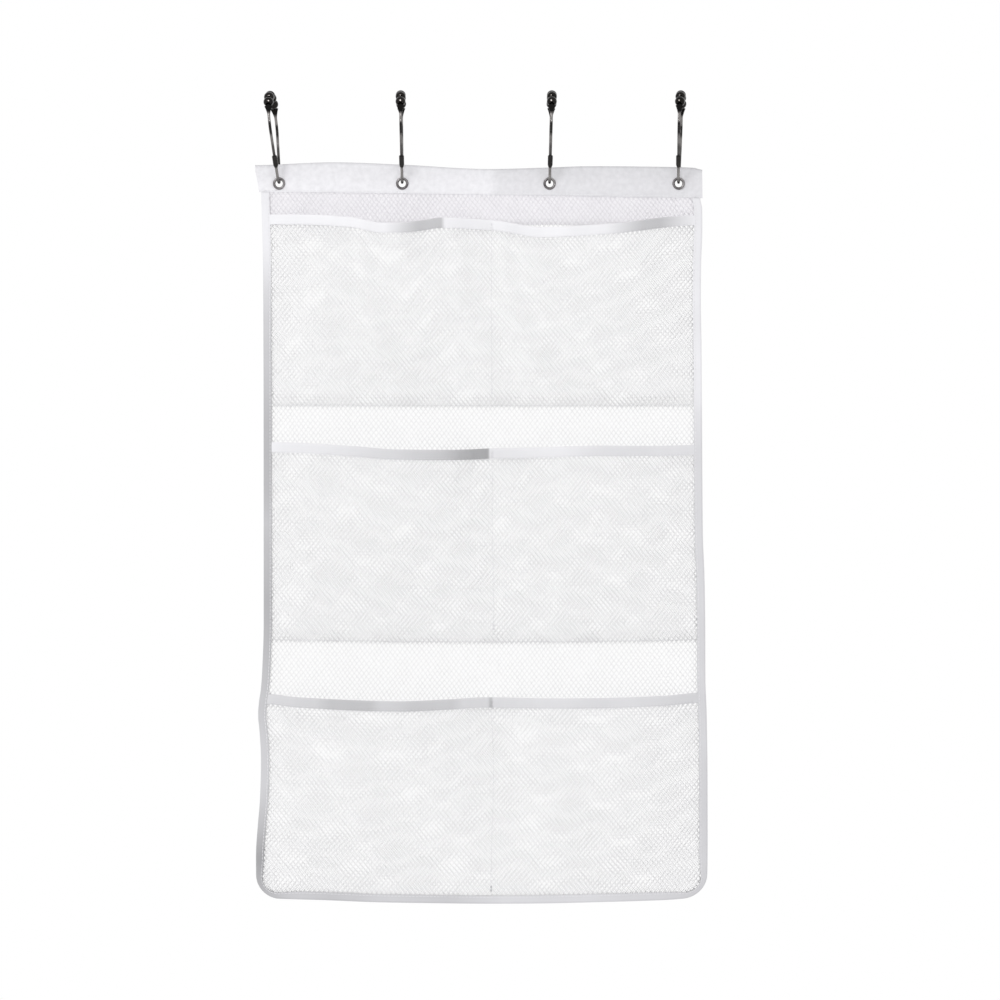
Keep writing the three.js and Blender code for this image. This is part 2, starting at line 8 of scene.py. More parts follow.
import bpy
import numpy as np
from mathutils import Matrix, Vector


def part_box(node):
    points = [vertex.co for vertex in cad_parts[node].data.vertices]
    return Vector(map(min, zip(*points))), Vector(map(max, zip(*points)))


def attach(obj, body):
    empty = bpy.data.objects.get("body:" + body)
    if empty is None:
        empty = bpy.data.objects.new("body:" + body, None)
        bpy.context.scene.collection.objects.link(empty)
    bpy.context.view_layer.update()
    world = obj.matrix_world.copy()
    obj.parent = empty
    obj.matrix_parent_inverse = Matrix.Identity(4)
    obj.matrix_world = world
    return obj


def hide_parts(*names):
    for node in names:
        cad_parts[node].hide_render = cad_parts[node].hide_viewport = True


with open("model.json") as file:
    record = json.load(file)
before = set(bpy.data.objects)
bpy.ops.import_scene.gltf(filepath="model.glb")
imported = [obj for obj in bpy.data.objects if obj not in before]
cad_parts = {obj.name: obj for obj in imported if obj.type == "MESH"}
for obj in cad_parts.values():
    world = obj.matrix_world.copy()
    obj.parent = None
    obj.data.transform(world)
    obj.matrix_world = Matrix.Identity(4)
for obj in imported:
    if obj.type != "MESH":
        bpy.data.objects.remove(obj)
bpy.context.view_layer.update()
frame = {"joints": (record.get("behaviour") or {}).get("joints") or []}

MM = 0.001
LENGTH = "length"  # attribute of a piece that says how far along it a point lies
LEFT = np.array([-1.0, 0, 0])
BACK = np.array([0, 1.0, 0])
FRONT = -BACK
UP = np.array([0, 0, 1.0])
ASKEW = np.array([0.3, 0.5, 0.8])  # lies along no axis that a piece is turned about

# Net of slanting threads
CELL = 4  # width of one diamond
CELL_SLOPE = 1.3  # height of a diamond for its width
STRIP_SLOPE = 1.14  # the same in the pocket strips, which are pulled wide
THREAD_HALF_WIDTH = 0.4
THREAD_HALF_DEPTH = 0.42
THREAD_CROSSING = 0.12  # how far the two families of threads lie in front of and behind the net
THREAD_STEP = 7  # length of thread between two bends
TRIM_STEPS = 500  # places along a thread that are tried against an edge
HEADER_CELL = 0.85  # the fine net that lines the head
HEADER_FINENESS = 0.3  # thickness of its threads for that of the other nets
# How the cloth is stretched out of square: (reach across, reach up, shift across, shift up)
STRAYS = [(43, 67, 0.25, 0.2), (-71, 39, 0.3, 0.18), (27, -58, 0.18, 0.14)]
STRAY_EDGE = 20  # the stretching dies out this far inside the edges

# Sewn cloth
NET_HALF = 0.3
LAYER_GAP = 0.3
HEM_LEAF = 0.8
TAPE_LEAF = 0.5
TAPE_HEIGHT = 7.6
BINDING_WIDTH = 7
BINDING_HEAD = 60  # the stretch over which the binding's ends follow the hem's lower edge
CORNER_RADIUS = 20
CORNER_NARROWING = 0.4  # share of its width that the binding loses where it turns a corner
CORNER_REACH = 42  # along the edge from the middle of a corner
FOLD_HEIGHT = 9  # turned-up foot of the upper and middle strips
NET_IN_HEM = 4.3  # how far the net reaches up into the hem
HEADER_DROP = 26  # fine net below the hem
SEAM_X = 8
SEAM_WIDTH = 4
POCKET_DEPTH = 18
# Length of the cutter that punches the hem's holes
PUNCH_LENGTH = 20
# Steps of the cloth's meshes
TURN_STEPS = 13  # round half a turn of cloth or metal
LEAF_STEPS = 6  # down one leaf of a folded cloth
BINDING_LEAF_STEPS = 4
TAPE_SECTIONS = 181
HEM_SECTIONS = 121
CORNER_STEPS = 12
EDGE_STEP = 8  # length of binding between two of its sections

# How the panel hangs: (height, shift of the edge towards +X)
LEFT_EDGE = [
    (-657, -2.7), (-620, -2.8), (-593, -1.1), (-572, 0.6), (-540, 1.4), (-517, 0.4), (-501, -1.1),
    (-489, -0.2), (-478, 1.5), (-460, 2.6), (-424, 3.7), (-234, 3.6), (-149, 3.3), (-107, 3),
    (-64, 1.9), (-58, 1.8), (-36, -1.4),
]
RIGHT_EDGE = [
    (-657, 2.7), (-614, 3.1), (-551, 3), (-500, 2.3), (-470, 1.2), (-424, 1.1), (-382, 0.4), (-350, -0.9),
    (-318, -1.2), (-191, -2), (-149, -2.6), (-120, -2.4), (-90, -1.4), (-72, -1.5), (-63, -3.3), (-36, -3.5),
]
# (place across, rise) of the hem's top edge, the hem's lower edge and the panel's bottom edge
HEM_TOP_EDGE = [
    (-190, 0.2), (-124, 2.4), (-67, 0.6), (10, -3.1), (57, -2), (94, -0.9),
    (166, -1.5), (183, -2.1), (190, -3.8),
]
HEM_LOW_EDGE = [(-190, 1.9), (-60, 0.6), (60, -1.2), (190, -3.2)]
BOTTOM_EDGE = [
    (-188, 2), (-136, 1), (-86, -1), (-35, -1.9), (7, -2.3),
    (50, -2), (100, -0.8), (151, 0.8), (188, 3),
]
HEAD_START = 4  # above the eyelets' middle, where the hem begins to follow its top edge
# How far the cloth stands back at the hem's ends and between the eyelets
HEM_WAVES = (1.2, -1.8, 2, -1.6, 1)
WAVE_LOSS = 0.5  # share of the waves that is gone at the panel's foot
LOOSE_SHARE = 1 / 6  # share of the panel's height over which its sides come loose below the hem
LEFT_CURL = 5
RIGHT_CURL = 1.5
BOTTOM_CURL = 4
CURL_REACH = 40
CURL_LIMIT = 1.2  # an edge curls no further past this many times the reach
CREASE_HEIGHTS = (-187, -352)  # left by the folded packing
CREASE_DEPTH = 0.9
CREASE_WIDTH = 5

# Pocket mouths, left to right: (place across, drop of the mouth) and (place across, lean of the mouth)
UPPER_MOUTH = [
    (-188, -2.5), (-160, -2.1), (-114, 0.4), (-84, 5.4), (-69, 5.3), (-52, 3.7), (-35, 0.9),
    (8, 2.4), (52, 8.9), (110, 6.2), (134, 3.6), (151, 1.2), (176, -1.5), (188, -2.2),
]
MIDDLE_MOUTH = [
    (-188, -3), (-153, -1.9), (-111, 0.5), (-69, 3.3), (-27, 3.4),
    (8, 2), (32, 1.7), (100, 0.1), (150, 0.3), (188, -0.5),
]
LOWER_MOUTH = [
    (-188, -0.5), (-179, -0.1), (-153, 2.1), (-111, 3.2), (-69, 3.5), (-27, 1.8),
    (-1, 0.5), (32, 0.8), (100, 1.1), (151, 0.5), (180, -0.9), (188, -1),
]
UPPER_LEAN = [
    (-188, 0), (-90, -2), (-60, 6), (-30, 2), (8, 0),
    (52, -2), (110, 0), (150, 7), (176, 2), (188, 0),
]
MIDDLE_LEAN = [(-188, 0), (-120, 1), (-50, 5), (-8, 8), (6, 1), (12, 0), (100, 1.5), (188, 0)]
LOWER_LEAN = [(-188, 0), (-100, 3), (-30, 4), (8, 0), (60, 2.5), (142, -1), (188, 0)]
LEAN_REACH = 24  # how far below the mouth a lean dies out
# How fast a lean and a pucker set in as a pocket swells away from its seams
LEAN_ONSET = 2
PUCKER_ONSET = 3
# (place across, place up the pocket, depth, reach across, reach up, length of a ripple)
UPPER_PUCKERS = [(-40, 0.62, 1.5, 22, 0.3, 17), (70, 0.5, 1.1, 30, 0.3, 24)]
MIDDLE_PUCKERS = [(-16, 0.7, 1.7, 16, 0.25, 13), (60, 0.55, 1.0, 34, 0.3, 26)]
LOWER_PUCKERS = [(-60, 0.6, 1.2, 30, 0.3, 22), (30, 0.7, 1.2, 18, 0.3, 15)]

# Painted shade: share of its colour that a mouth tape or the hem shows across the panel, the binding along
# its length from its left end, the hem down from its fold, and a ring up its height: (place, share). Darker
# stretches stand in for tapes and binding turned from the light and for shade at the hem's fold and crease;
# a ring's shares are painted reflections.
UPPER_PAINTED_SHADE = [
    (-181, 1), (-82, 1), (-55, 0.68), (-34, 0.66), (-31, 1),
    (105, 0.96), (137, 0.64), (150, 0.65), (172, 0.9), (181, 1),
]
MIDDLE_PAINTED_SHADE = [
    (-181, 0.97), (-115, 0.9), (-75, 0.79), (-35, 0.65), (-5, 0.48), (5.5, 0.45),
    (7, 0.9), (80, 0.91), (120, 0.87), (181, 0.87),
]
# Painted shade on the lower tape; the dip at the seam stands for the shade where the tape is pulled back
LOWER_PAINTED_SHADE = [
    (-181, 0.75), (-140, 0.74), (-126, 0.62), (-95, 0.62), (-84, 0.74), (-60, 0.68),
    (-25, 0.68), (-15, 0.8), (5.5, 0.8), (6.5, 0.6), (8.5, 0.6), (9.5, 0.8), (80, 0.84), (181, 0.78),
]
# Painted shade along the binding, darker where its satin turns away from the light
BINDING_PAINTED_SHADE = [
    (0, 0.95), (45, 0.95), (75, 0.8), (110, 0.65), (145, 0.65), (195, 0.52), (250, 0.53), (280, 0.61),
    (345, 0.49), (380, 0.55), (430, 0.6), (470, 0.71), (505, 0.69), (530, 0.6), (565, 0.4), (590, 0.52),
    (625, 0.71), (655, 0.65), (690, 0.75), (750, 0.7), (800, 0.82), (870, 0.82), (960, 0.72), (1200, 0.78),
    (1340, 0.79), (1385, 0.95), (1520, 0.95), (1560, 0.88),
]
# Painted shade on the hem: darker at its fold along the top, and right of its middle crease
HEM_PAINTED_SHADE_DOWN = [(-1.4, 0.62), (-0.6, 0.8), (1, 0.93), (8, 0.96), (16, 1), (30, 1)]
HEM_PAINTED_SHADE_ACROSS = [(-190, 1), (6, 1), (14, 0.895), (190, 0.885)]
# Painted reflections: dark and light bands up a ring's wire, as polished steel would mirror dark and light
# surroundings
RING_PAINTED_REFLECTIONS_UP = [
    (-50, 0.5), (-46, 0.9), (-39, 0.8), (-37.5, 0.12), (-28, 0.12), (-26, 0.3), (-20, 0.35), (-17, 0.7),
    (-12, 0.7), (-9, 0.12), (-1, 0.1), (1, 0.8), (6, 0.8), (9, 0.04), (28, 0.04),
]

# Sewing thread
STITCH_LENGTH = 2.3
STITCH_PITCH = 3
STITCH_RADIUS = 0.2
STITCH_SIDES = 6
# An arched stitch: (share of its length, height of its middle for its radius)
STITCH_ARCH = [(0, -0.9), (0.2, 0.4), (0.5, 0.8), (0.8, 0.4), (1, -0.9)]
STITCH_INSET = 1.3  # from the edge of a tape or hem
HEM_ROW_INSET = 3  # from the ends of the hem
TAPE_ROW_INSET = 2
TACK_PITCH = 0.5  # between the rows that fasten a seam's ends
TACK_ROWS = (-1, 0, 1)  # beside the seam's middle
TACK_LENGTH = 9
# Places along a row through which its path is laid
HEM_ROW_STEPS = 150
TAPE_ROW_STEPS = 200
SEAM_ROW_STEPS = 60
TACK_ROW_STEPS = 12

# Roller rings and eyelets
RINGS = range(1, 5)
BALLS = range(1, 6)
TOP_BALL = 3
RING_DROP = 50
RING_RADIUS = 24
RING_FOOT_RADIUS = 8
WIRE_RADIUS = 1.2
WIRE_SIDES = 20
WIRE_STEP = 0.8
WIRE_END_STEPS = 5
WIRE_END_TIP = 0.05  # share of its radius that is left at the tip of the wire
LATCH_DROP = 20.5  # down the leg to the mouth of the socket
LATCH_GAP = 0.5
SOCKET_LENGTH = 10
SOCKET_FLOOR = 3
SOCKET_TAPER = 2
SOCKET_CLEARANCE = 0.3
SOCKET_WALL = 0.6
SOCKET_SLIT = 2
SOCKET_ROUND = 0.15
STOP_WIDTH = 7.4
STOP_START = math.radians(53)
STOP_SHOULDER = math.radians(2)
STOP_TAPER = math.radians(22)
STOP_HOLLOW = 1.4  # above 1, a stop falls away in a hollow curve
STOP_FLATTENING = 0.3  # share of its thickness that a stop loses where it is widest
BALL_RADIUS = 4.25
BALL_STEPS = 25
BORE_RADIUS = 2
BORE_ROUND = 0.3
EYELET_HOLE_RADIUS = 3.15
EYELET_WALL = 0.4
EYELET_CURL_WIDTH = 1.05
EYELET_CURL_DEPTH = 0.6
EYELET_FLANGE_DEPTH = 0.9
WASHER_HOLE_RADIUS = 3.87
WASHER_EDGE = 0.2
WASHER_CROWN = 0.6  # share of its thickness that is domed
TURNED_SIDES = 48
SHARP_ANGLE = math.radians(50)

# Looks
MOTTLE_SPREAD = (0.3, 0.7)  # values of the noise at which a mottled colour is darkest and lightest
WAVE_PITCH = math.pi / 10  # between the waves of a wave texture of scale 1
RIB_WANDER = 0.6

# View and light
PHOTO_CENTRE = (15.6, -318.2)  # place across and up that the middle of the picture shows
PHOTO_WIDTH = 845
CAMERA_DISTANCE = 5000
CAMERA_REACH = 50000
SENSOR = 36
FLOOR_DROP = 2000  # a curtain rod hangs about two metres up
FLOOR_WIDTH = 14000
FADE_START = 500  # from the middle of the floor
FADE_END = 2200
WORLD_COLOUR = (0.985, 0.98, 0.995)
WORLD_LIGHT = 0.91
# Lamps: (name, place, aim, width, watts)
KEY_LAMP = ("key", (-1.6, -2.1, 1.5), (0, 0, -0.3), 0.8, 15)
FRONT_LAMP = ("front", (-0.4, -2.6, 0.4), (0, 0, -0.1), 0.16, 4)
# A near lamp that shows as a spot on each polished ball and lights nothing else
GLOSS_LAMP = ("ball_gloss", (-0.15, -0.85, 0.4), (0, 0, 0.02), 0.5, 28)


def mm_box(node):
    low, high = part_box(node)
    return np.array(low) / MM, np.array(high) / MM


hem_low, hem_high = mm_box("top_hem")
binding_low, binding_high = mm_box("edge_binding")
net_low, net_high = mm_box("back_mesh")
hem_half, hem_top, hem_bottom = hem_high[0], hem_high[2], hem_low[2]
half_width, panel_bottom = binding_high[0], binding_low[2]
net_half_width, net_bottom = net_high[0], net_low[2]
eyelet_boxes = [mm_box(f"eyelet_{number}") for number in RINGS]
eyelet_centres = [(low + high) / 2 for low, high in eyelet_boxes]
eyelet_z = eyelet_centres[0][2]
sewn_offset = 2 * NET_HALF + LAYER_GAP
mouth_offset = sewn_offset + LAYER_GAP + TAPE_LEAF
fold_inner = NET_HALF + LAYER_GAP  # from the net's middle to the inside of a folded cloth
tape_face = fold_inner + TAPE_LEAF
hem_face = fold_inner + HEM_LEAF
pocket_half_width = half_width - BINDING_WIDTH - LAYER_GAP
joints = {joint["name"]: joint for joint in frame["joints"]}


def unit(vectors):
    vectors = np.asarray(vectors, float)
    return vectors / np.linalg.norm(vectors, axis=-1, keepdims=True)


def travelled(path):
    """How far along a path each of its points lies."""
    steps = np.linalg.norm(np.diff(path, axis=0), axis=1)
    return np.concatenate([[0], np.cumsum(steps)])


def smoothstep(share):
    share = np.clip(share, 0, 1)
    return share * share * (3 - 2 * share)


def smooth_curve(points):
    """A smooth curve through (place, value) points that never swings past them, level beyond its ends."""
    places, values = np.array(points, float).T
    steep = np.diff(values) / np.diff(places)
    both_ways = np.maximum(steep[:-1] * steep[1:], 0)
    total = steep[:-1] + steep[1:]
    slopes = np.zeros_like(values)
    slopes[1:-1] = 2 * both_ways / np.where(total == 0, 1, total)

    def at(place):
        place = np.clip(place, places[0], places[-1])
        i = np.clip(np.searchsorted(places, place) - 1, 0, len(places) - 2)
        span = places[i + 1] - places[i]
        t = (place - places[i]) / span
        weight = smoothstep(t)
        bend = slopes[i] * t * (1 - t) ** 2 - slopes[i + 1] * t**2 * (1 - t)
        return values[i] * (1 - weight) + values[i + 1] * weight + span * bend

    return at


left_edge = smooth_curve(LEFT_EDGE)
right_edge = smooth_curve(RIGHT_EDGE)
hem_top_edge = smooth_curve(HEM_TOP_EDGE)
hem_low_edge = smooth_curve(HEM_LOW_EDGE)
bottom_edge = smooth_curve(BOTTOM_EDGE)

# The hem lies still at its eyelets and waves between them
still = [centre[0] for centre in eyelet_centres]
between = [(left + right) / 2 for left, right in zip(still[:-1], still[1:])]
waves = list(zip([-hem_half, *between, hem_half], HEM_WAVES))
hem_wave = smooth_curve(sorted(waves + [(place, 0) for place in still]))


def curl(past, amount):
    return amount * np.clip(past / CURL_REACH, 0, CURL_LIMIT) ** 2


def hang(points):
    """Moves points of the flat cloth to where they are on the hanging panel."""
    x, y, z = np.asarray(points, float).reshape(-1, 3).T
    across = (x + half_width) / (2 * half_width)
    drop = np.clip((hem_bottom - z) / (hem_bottom - panel_bottom), 0, 1)
    shift = (1 - across) * left_edge(z) + across * right_edge(z)
    head_start = eyelet_z + HEAD_START
    head = smoothstep((z - head_start) / (hem_top - head_start))
    rise = head * hem_top_edge(x) + drop**2 * bottom_edge(x)
    loose = smoothstep(drop / LOOSE_SHARE)
    depth = hem_wave(x) * (1 - WAVE_LOSS * drop)
    depth += loose * curl(-half_width + CURL_REACH - x, LEFT_CURL)
    depth += loose * curl(x - half_width + CURL_REACH, RIGHT_CURL)
    depth += curl(panel_bottom + CURL_REACH - z, BOTTOM_CURL)
    for height in CREASE_HEIGHTS:
        depth -= CREASE_DEPTH * np.exp(-(((z - height) / CREASE_WIDTH) ** 2))
    return np.column_stack([x + shift, y + depth, z + rise])


# Materials


def new_material(name, roughness, metallic=0.0, sheen=0.0, specular=0.5):
    made = bpy.data.materials.new(name)
    made.use_nodes = True
    shader = made.node_tree.nodes["Principled BSDF"]
    shader.inputs["Roughness"].default_value = roughness
    shader.inputs["Metallic"].default_value = metallic
    shader.inputs["Sheen Weight"].default_value = sheen
    shader.inputs["Specular IOR Level"].default_value = specular
    return made


def add_node(tree, kind, inputs, **settings):
    """The outputs of a new node with values or links on its inputs."""
    node = tree.nodes.new(kind)
    for key, value in settings.items():
        setattr(node, key, value)
    for key, value in inputs.items():
        if isinstance(value, bpy.types.NodeSocket):
            tree.links.new(value, node.inputs[key])
        else:
            node.inputs[key].default_value = value
    return node.outputs


def link_shader(tree, socket, value):
    tree.links.new(value, tree.nodes["Principled BSDF"].inputs[socket])


def own_place(tree):
    """The piece's own coordinates."""
    return add_node(tree, "ShaderNodeTexCoord", {})["Object"]


def noise(tree, scale, detail=2.0):
    inputs = {"Vector": own_place(tree), "Scale": scale, "Detail": detail}
    return add_node(tree, "ShaderNodeTexNoise", inputs)["Fac"]


def colour_ramp(tree, value, stops):
    """The colour at a value between (value, colour) stops."""
    node = tree.nodes.new("ShaderNodeValToRGB")
    elements = node.color_ramp.elements
    elements[0].position, elements[1].position = stops[0][0], stops[-1][0]
    for position, _ in stops[1:-1]:
        elements.new(position)
    for element, (_, colour) in zip(elements, stops):
        element.color = (*colour, 1)
    tree.links.new(value, node.inputs["Fac"])
    return node.outputs["Color"]


def mottle(made, dark, light, scale, detail=3.0):
    """Colours a material between two tones that change over the surface."""
    tree = made.node_tree
    stops = list(zip(MOTTLE_SPREAD, (dark, light)))
    link_shader(tree, "Base Color", colour_ramp(tree, noise(tree, scale, detail), stops))


def shade_along(made, axis, tones):
    """Paints shade into a material's colour along one of the piece's axes, or along its length."""
    tree = made.node_tree
    first, last = tones[0][0], tones[-1][0]
    if axis == LENGTH:
        place = add_node(tree, "ShaderNodeAttribute", {}, attribute_name=LENGTH)["Fac"]
    else:
        place = add_node(tree, "ShaderNodeSeparateXYZ", {"Vector": own_place(tree)})[axis]
    reach = {"Value": place, "From Min": first * MM, "From Max": last * MM}
    share = add_node(tree, "ShaderNodeMapRange", reach)["Result"]
    stops = [((where - first) / (last - first), (tone, tone, tone)) for where, tone in tones]
    colour = tree.nodes["Principled BSDF"].inputs["Base Color"].links[0].from_socket
    layers = {"Factor": 1, "A": colour, "B": colour_ramp(tree, share, stops)}
    shaded = add_node(tree, "ShaderNodeMix", layers, data_type="RGBA", blend_type="MULTIPLY")
    link_shader(tree, "Base Color", shaded["Result"])


def bump(made, height, strength, distance):
    tree = made.node_tree
    inputs = {"Height": height, "Strength": strength, "Distance": distance}
    link_shader(tree, "Normal", add_node(tree, "ShaderNodeBump", inputs)["Normal"])


def combine(tree, operation, first, second):
    return add_node(tree, "ShaderNodeMath", {0: first, 1: second}, operation=operation)["Value"]


def ribs(tree, pitch, direction):
    """Fine ribs, a pitch apart."""
    inputs = {"Vector": own_place(tree), "Scale": WAVE_PITCH / pitch, "Distortion": RIB_WANDER}
    return add_node(tree, "ShaderNodeTexWave", inputs, bands_direction=direction)["Fac"]


def roughen(made, low, high, scale):
    """Lets a material's roughness change over the surface."""
    tree = made.node_tree
    spread = {"Value": noise(tree, scale, detail=5.0), "To Min": low, "To Max": high}
    link_shader(tree, "Roughness", add_node(tree, "ShaderNodeMapRange", spread)["Result"])


def thread_material(name, dark, light):
    made = new_material(name, roughness=0.62, sheen=0.15)
    mottle(made, dark, light, scale=45)
    twist = ribs(made.node_tree, pitch=0.0005, direction="DIAGONAL")
    bump(made, twist, strength=0.35, distance=0.00006)
    return made


def woven_material(name, dark, light, pitch):
    made = new_material(name, roughness=0.75, sheen=0.2)
    mottle(made, dark, light, scale=260, detail=5.0)
    tree = made.node_tree
    weave = combine(tree, "MAXIMUM", ribs(tree, pitch, "X"), ribs(tree, pitch, "Z"))
    bump(made, weave, strength=0.5, distance=0.0001)
    return made


def satin_material(name, dark, light):
    made = new_material(name, roughness=0.42, sheen=0.25, specular=0.45)
    mottle(made, dark, light, scale=22)
    roughen(made, low=0.36, high=0.52, scale=160)
    tree = made.node_tree
    weave = ribs(tree, pitch=0.0006, direction="DIAGONAL")
    bump(made, combine(tree, "ADD", weave, noise(tree, scale=90)), strength=0.4, distance=0.00012)
    return made


def metal_material(name, dark, light, low, high):
    made = new_material(name, roughness=low, metallic=1.0)
    mottle(made, dark, light, scale=120)
    roughen(made, low, high, scale=260)
    scratches = noise(made.node_tree, scale=900, detail=6.0)
    bump(made, scratches, strength=0.12, distance=0.00003)
    return made


net_thread = thread_material("white_net_thread", (0.935, 0.935, 0.935), (0.972, 0.972, 0.972))
# A lighter copy of the same net thread for the upper and lower strips: painted light, as these rows look
# lighter
painted_lighter_net_thread = thread_material("white_net_thread_painted_lighter", (0.95, 0.95, 0.95), (0.985, 0.985, 0.985))
header_thread = thread_material("lilac_white_net_thread", (0.945, 0.925, 0.962), (0.98, 0.96, 0.995))
sewing_thread = thread_material("sewing_thread", (0.8, 0.8, 0.81), (0.88, 0.88, 0.89))
hem_weave = woven_material("white_hem_weave_painted_shade", (0.83, 0.827, 0.846), (0.92, 0.917, 0.937), pitch=0.0006)
# Painted shade on the hem, down from its fold and across its middle crease
shade_along(hem_weave, LENGTH, HEM_PAINTED_SHADE_DOWN)
shade_along(hem_weave, "X", HEM_PAINTED_SHADE_ACROSS)
binding_satin = satin_material("binding_satin_painted_shade", (0.86, 0.86, 0.88), (0.92, 0.92, 0.94))
# Painted shade along the binding's length
shade_along(binding_satin, LENGTH, BINDING_PAINTED_SHADE)
eyelet_plate = metal_material("plated_eyelet_metal", (0.12, 0.11, 0.115), (0.34, 0.325, 0.325), 0.2, 0.34)
# The balls' near-black colour is a painted reflection of dark surroundings in polished steel, not their own
# colour
ball_steel = metal_material("polished_steel_painted_dark_reflections", (0.014, 0.013, 0.012), (0.028, 0.026, 0.025), 0.06, 0.12)
# The wire's dark colour and its bands up its height are painted reflections of dark surroundings in polished
# steel
wire_steel = metal_material("dark_steel_painted_reflections", (0.22, 0.21, 0.205), (0.34, 0.325, 0.315), 0.12, 0.22)
shade_along(wire_steel, "Z", RING_PAINTED_REFLECTIONS_UP)


# Mesh building


def outward(points, faces):
    """Turns all the faces of a closed mesh to look outwards."""
    volume = 0.0
    for face in faces:
        corner = points[face[0]]
        for a, b in zip(face[1:-1], face[2:]):
            volume += np.dot(corner, np.cross(points[a], points[b]))
    return faces if volume > 0 else [face[::-1] for face in faces]


def joined(bodies):
    """The points and faces of several closed bodies as one."""
    points, faces, first = [], [], 0
    for body_points, body_faces in bodies:
        points.append(body_points)
        faces += [np.add(face, first) for face in body_faces]
        first += len(body_points)
    return np.concatenate(points), faces


def make_piece(name, points, faces, made, slot, body="organizer", sharp=True):
    mesh = bpy.data.meshes.new(name)
    mesh.from_pydata(np.asarray(points) * MM, [], faces)
    mesh.polygons.foreach_set("use_smooth", np.ones(len(mesh.polygons), bool))
    if sharp:
        mesh.set_sharp_from_angle(angle=SHARP_ANGLE)
    mesh.materials.append(made)
    piece = bpy.data.objects.new(name, mesh)
    bpy.context.scene.collection.objects.link(piece)
    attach(piece, body)
    return piece


def set_length(piece, values):
    length = piece.data.attributes.new(LENGTH, "FLOAT", "POINT")
    length.data.foreach_set("value", np.asarray(values) * MM)


def tube_faces(rows, columns, first=0):
    """Quads round a tube of closed sections, one row of points each."""
    index = first + np.arange(rows * columns).reshape(rows, columns)
    beside = np.roll(index, -1, axis=1)
    return np.stack([index[:-1], beside[:-1], beside[1:], index[1:]], axis=2).reshape(-1, 4), index


def swept(sections):
    """A closed body through a row of closed sections."""
    sections = np.asarray(sections)
    quads, index = tube_faces(*sections.shape[:2])
    points = sections.reshape(-1, 3)
    faces = quads.tolist() + [index[0][::-1].tolist(), index[-1].tolist()]
    return points, outward(points, faces)


def turned(profile, centre, axis):
    """A body turned about an axis from a closed profile of (radius, place along the axis) points."""
    radius, along = np.array(profile).T
    axis = unit(axis)
    across = unit(np.cross(axis, ASKEW))
    angles = np.linspace(0, 2 * np.pi, TURNED_SIDES, endpoint=False)
    spokes = np.outer(np.cos(angles), across) + np.outer(np.sin(angles), np.cross(axis, across))
    points = centre + spokes[:, None, :] * radius[None, :, None] + along[None, :, None] * axis
    index = np.arange(TURNED_SIDES * len(radius)).reshape(TURNED_SIDES, -1)
    beside = np.roll(index, -1, axis=1)
    quads = np.stack([index, beside, np.roll(beside, -1, axis=0), np.roll(index, -1, axis=0)], axis=2)
    points = points.reshape(-1, 3)
    return points, outward(points, quads.reshape(-1, 4).tolist())


# Net


def slanted_lines(low, high, slope=CELL_SLOPE, cell=CELL):
    """Threads across a rectangle of flat cloth that slant both ways and cross on its foot, as two ends and
    a lean each."""
    reach = (high[1] - low[1]) / slope
    cells = math.ceil(reach / cell)
    lines = []
    for lean in (1, -1):
        first = low[0] - cells * cell if lean > 0 else low[0]
        last = high[0] if lean > 0 else high[0] + reach
        for foot in np.arange(first + cell / 2, last, cell):
            left = max(low[0], foot if lean > 0 else foot - reach)
            right = min(high[0], foot + reach if lean > 0 else foot)
            if right - left > cell / 2:
                ends = [[x, low[1] + lean * slope * (x - foot)] for x in (left, right)]
                lines.append((np.array(ends), lean))
    return lines


def in_panel(points):
    """Which points of the flat net lie inside its two round lower corners."""
    past_side = np.abs(points[:, 0]) - (net_half_width - CORNER_RADIUS)
    past_foot = net_bottom + CORNER_RADIUS - points[:, 1]
    in_corner = (past_side > 0) & (past_foot > 0)
    return ~in_corner | (np.hypot(past_side, past_foot) < CORNER_RADIUS)


def trimmed(lines, inside):
    """The stretches of lines that lie inside."""
    kept = []
    for ends, lean in lines:
        share = np.linspace(0, 1, TRIM_STEPS)
        share = share[inside(ends[0] + share[:, None] * (ends[1] - ends[0]))]
        if len(share) > 2:
            kept.append((ends[0] + share[[0, -1], None] * (ends[1] - ends[0]), lean))
    return kept


def stretching(low, high, phase):
    """How uneven stretching moves points of a rectangle of flat cloth, least along its edges."""

    def stretched(flat):
        x, z = flat.T
        inside = np.minimum(np.minimum(x - low[0], high[0] - x), np.minimum(z - low[1], high[1] - z))
        loose = smoothstep(inside / STRAY_EDGE)
        moved = flat.copy()
        for number, (reach_x, reach_z, across, up) in enumerate(STRAYS):
            angle = 2 * np.pi * (x / reach_x + z / reach_z) + phase * (number + 1)
            moved += np.column_stack([across * loose * np.sin(angle), up * loose * np.cos(angle)])
        return moved

    return stretched


def threads(lines, stretched, surface, fineness=1):
    """Closed four-sided threads along lines of flat cloth, stretched, laid on a surface and hung."""
    points, faces, first = [], [], 0
    for ends, lean in lines:
        count = max(2, round(np.linalg.norm(ends[1] - ends[0]) / THREAD_STEP) + 1)
        flat = stretched(ends[0] + np.linspace(0, 1, count)[:, None] * (ends[1] - ends[0]))
        middle = hang(surface(flat[:, 0], flat[:, 1])) + lean * fineness * THREAD_CROSSING * BACK
        along = unit(ends[1] - ends[0])
        side = fineness * THREAD_HALF_WIDTH * np.array([along[1], 0, -along[0]])
        depth = fineness * THREAD_HALF_DEPTH * BACK
        ring = np.stack([middle + side, middle + depth, middle - side, middle - depth], axis=1)
        quads, index = tube_faces(*ring.shape[:2], first)
        points.append(ring.reshape(-1, 3))
        faces += [quads, index[:1, ::-1], index[-1:]]
        first += index.size
    return np.concatenate(points), np.concatenate(faces)


def net_piece(name, layers, made=net_thread):
    """Layers of net as one piece, each with its lines, stretching and surface."""
    points, faces = joined([threads(*layer) for layer in layers])
    return make_piece(name, points, faces, made, "white_net", sharp=False)


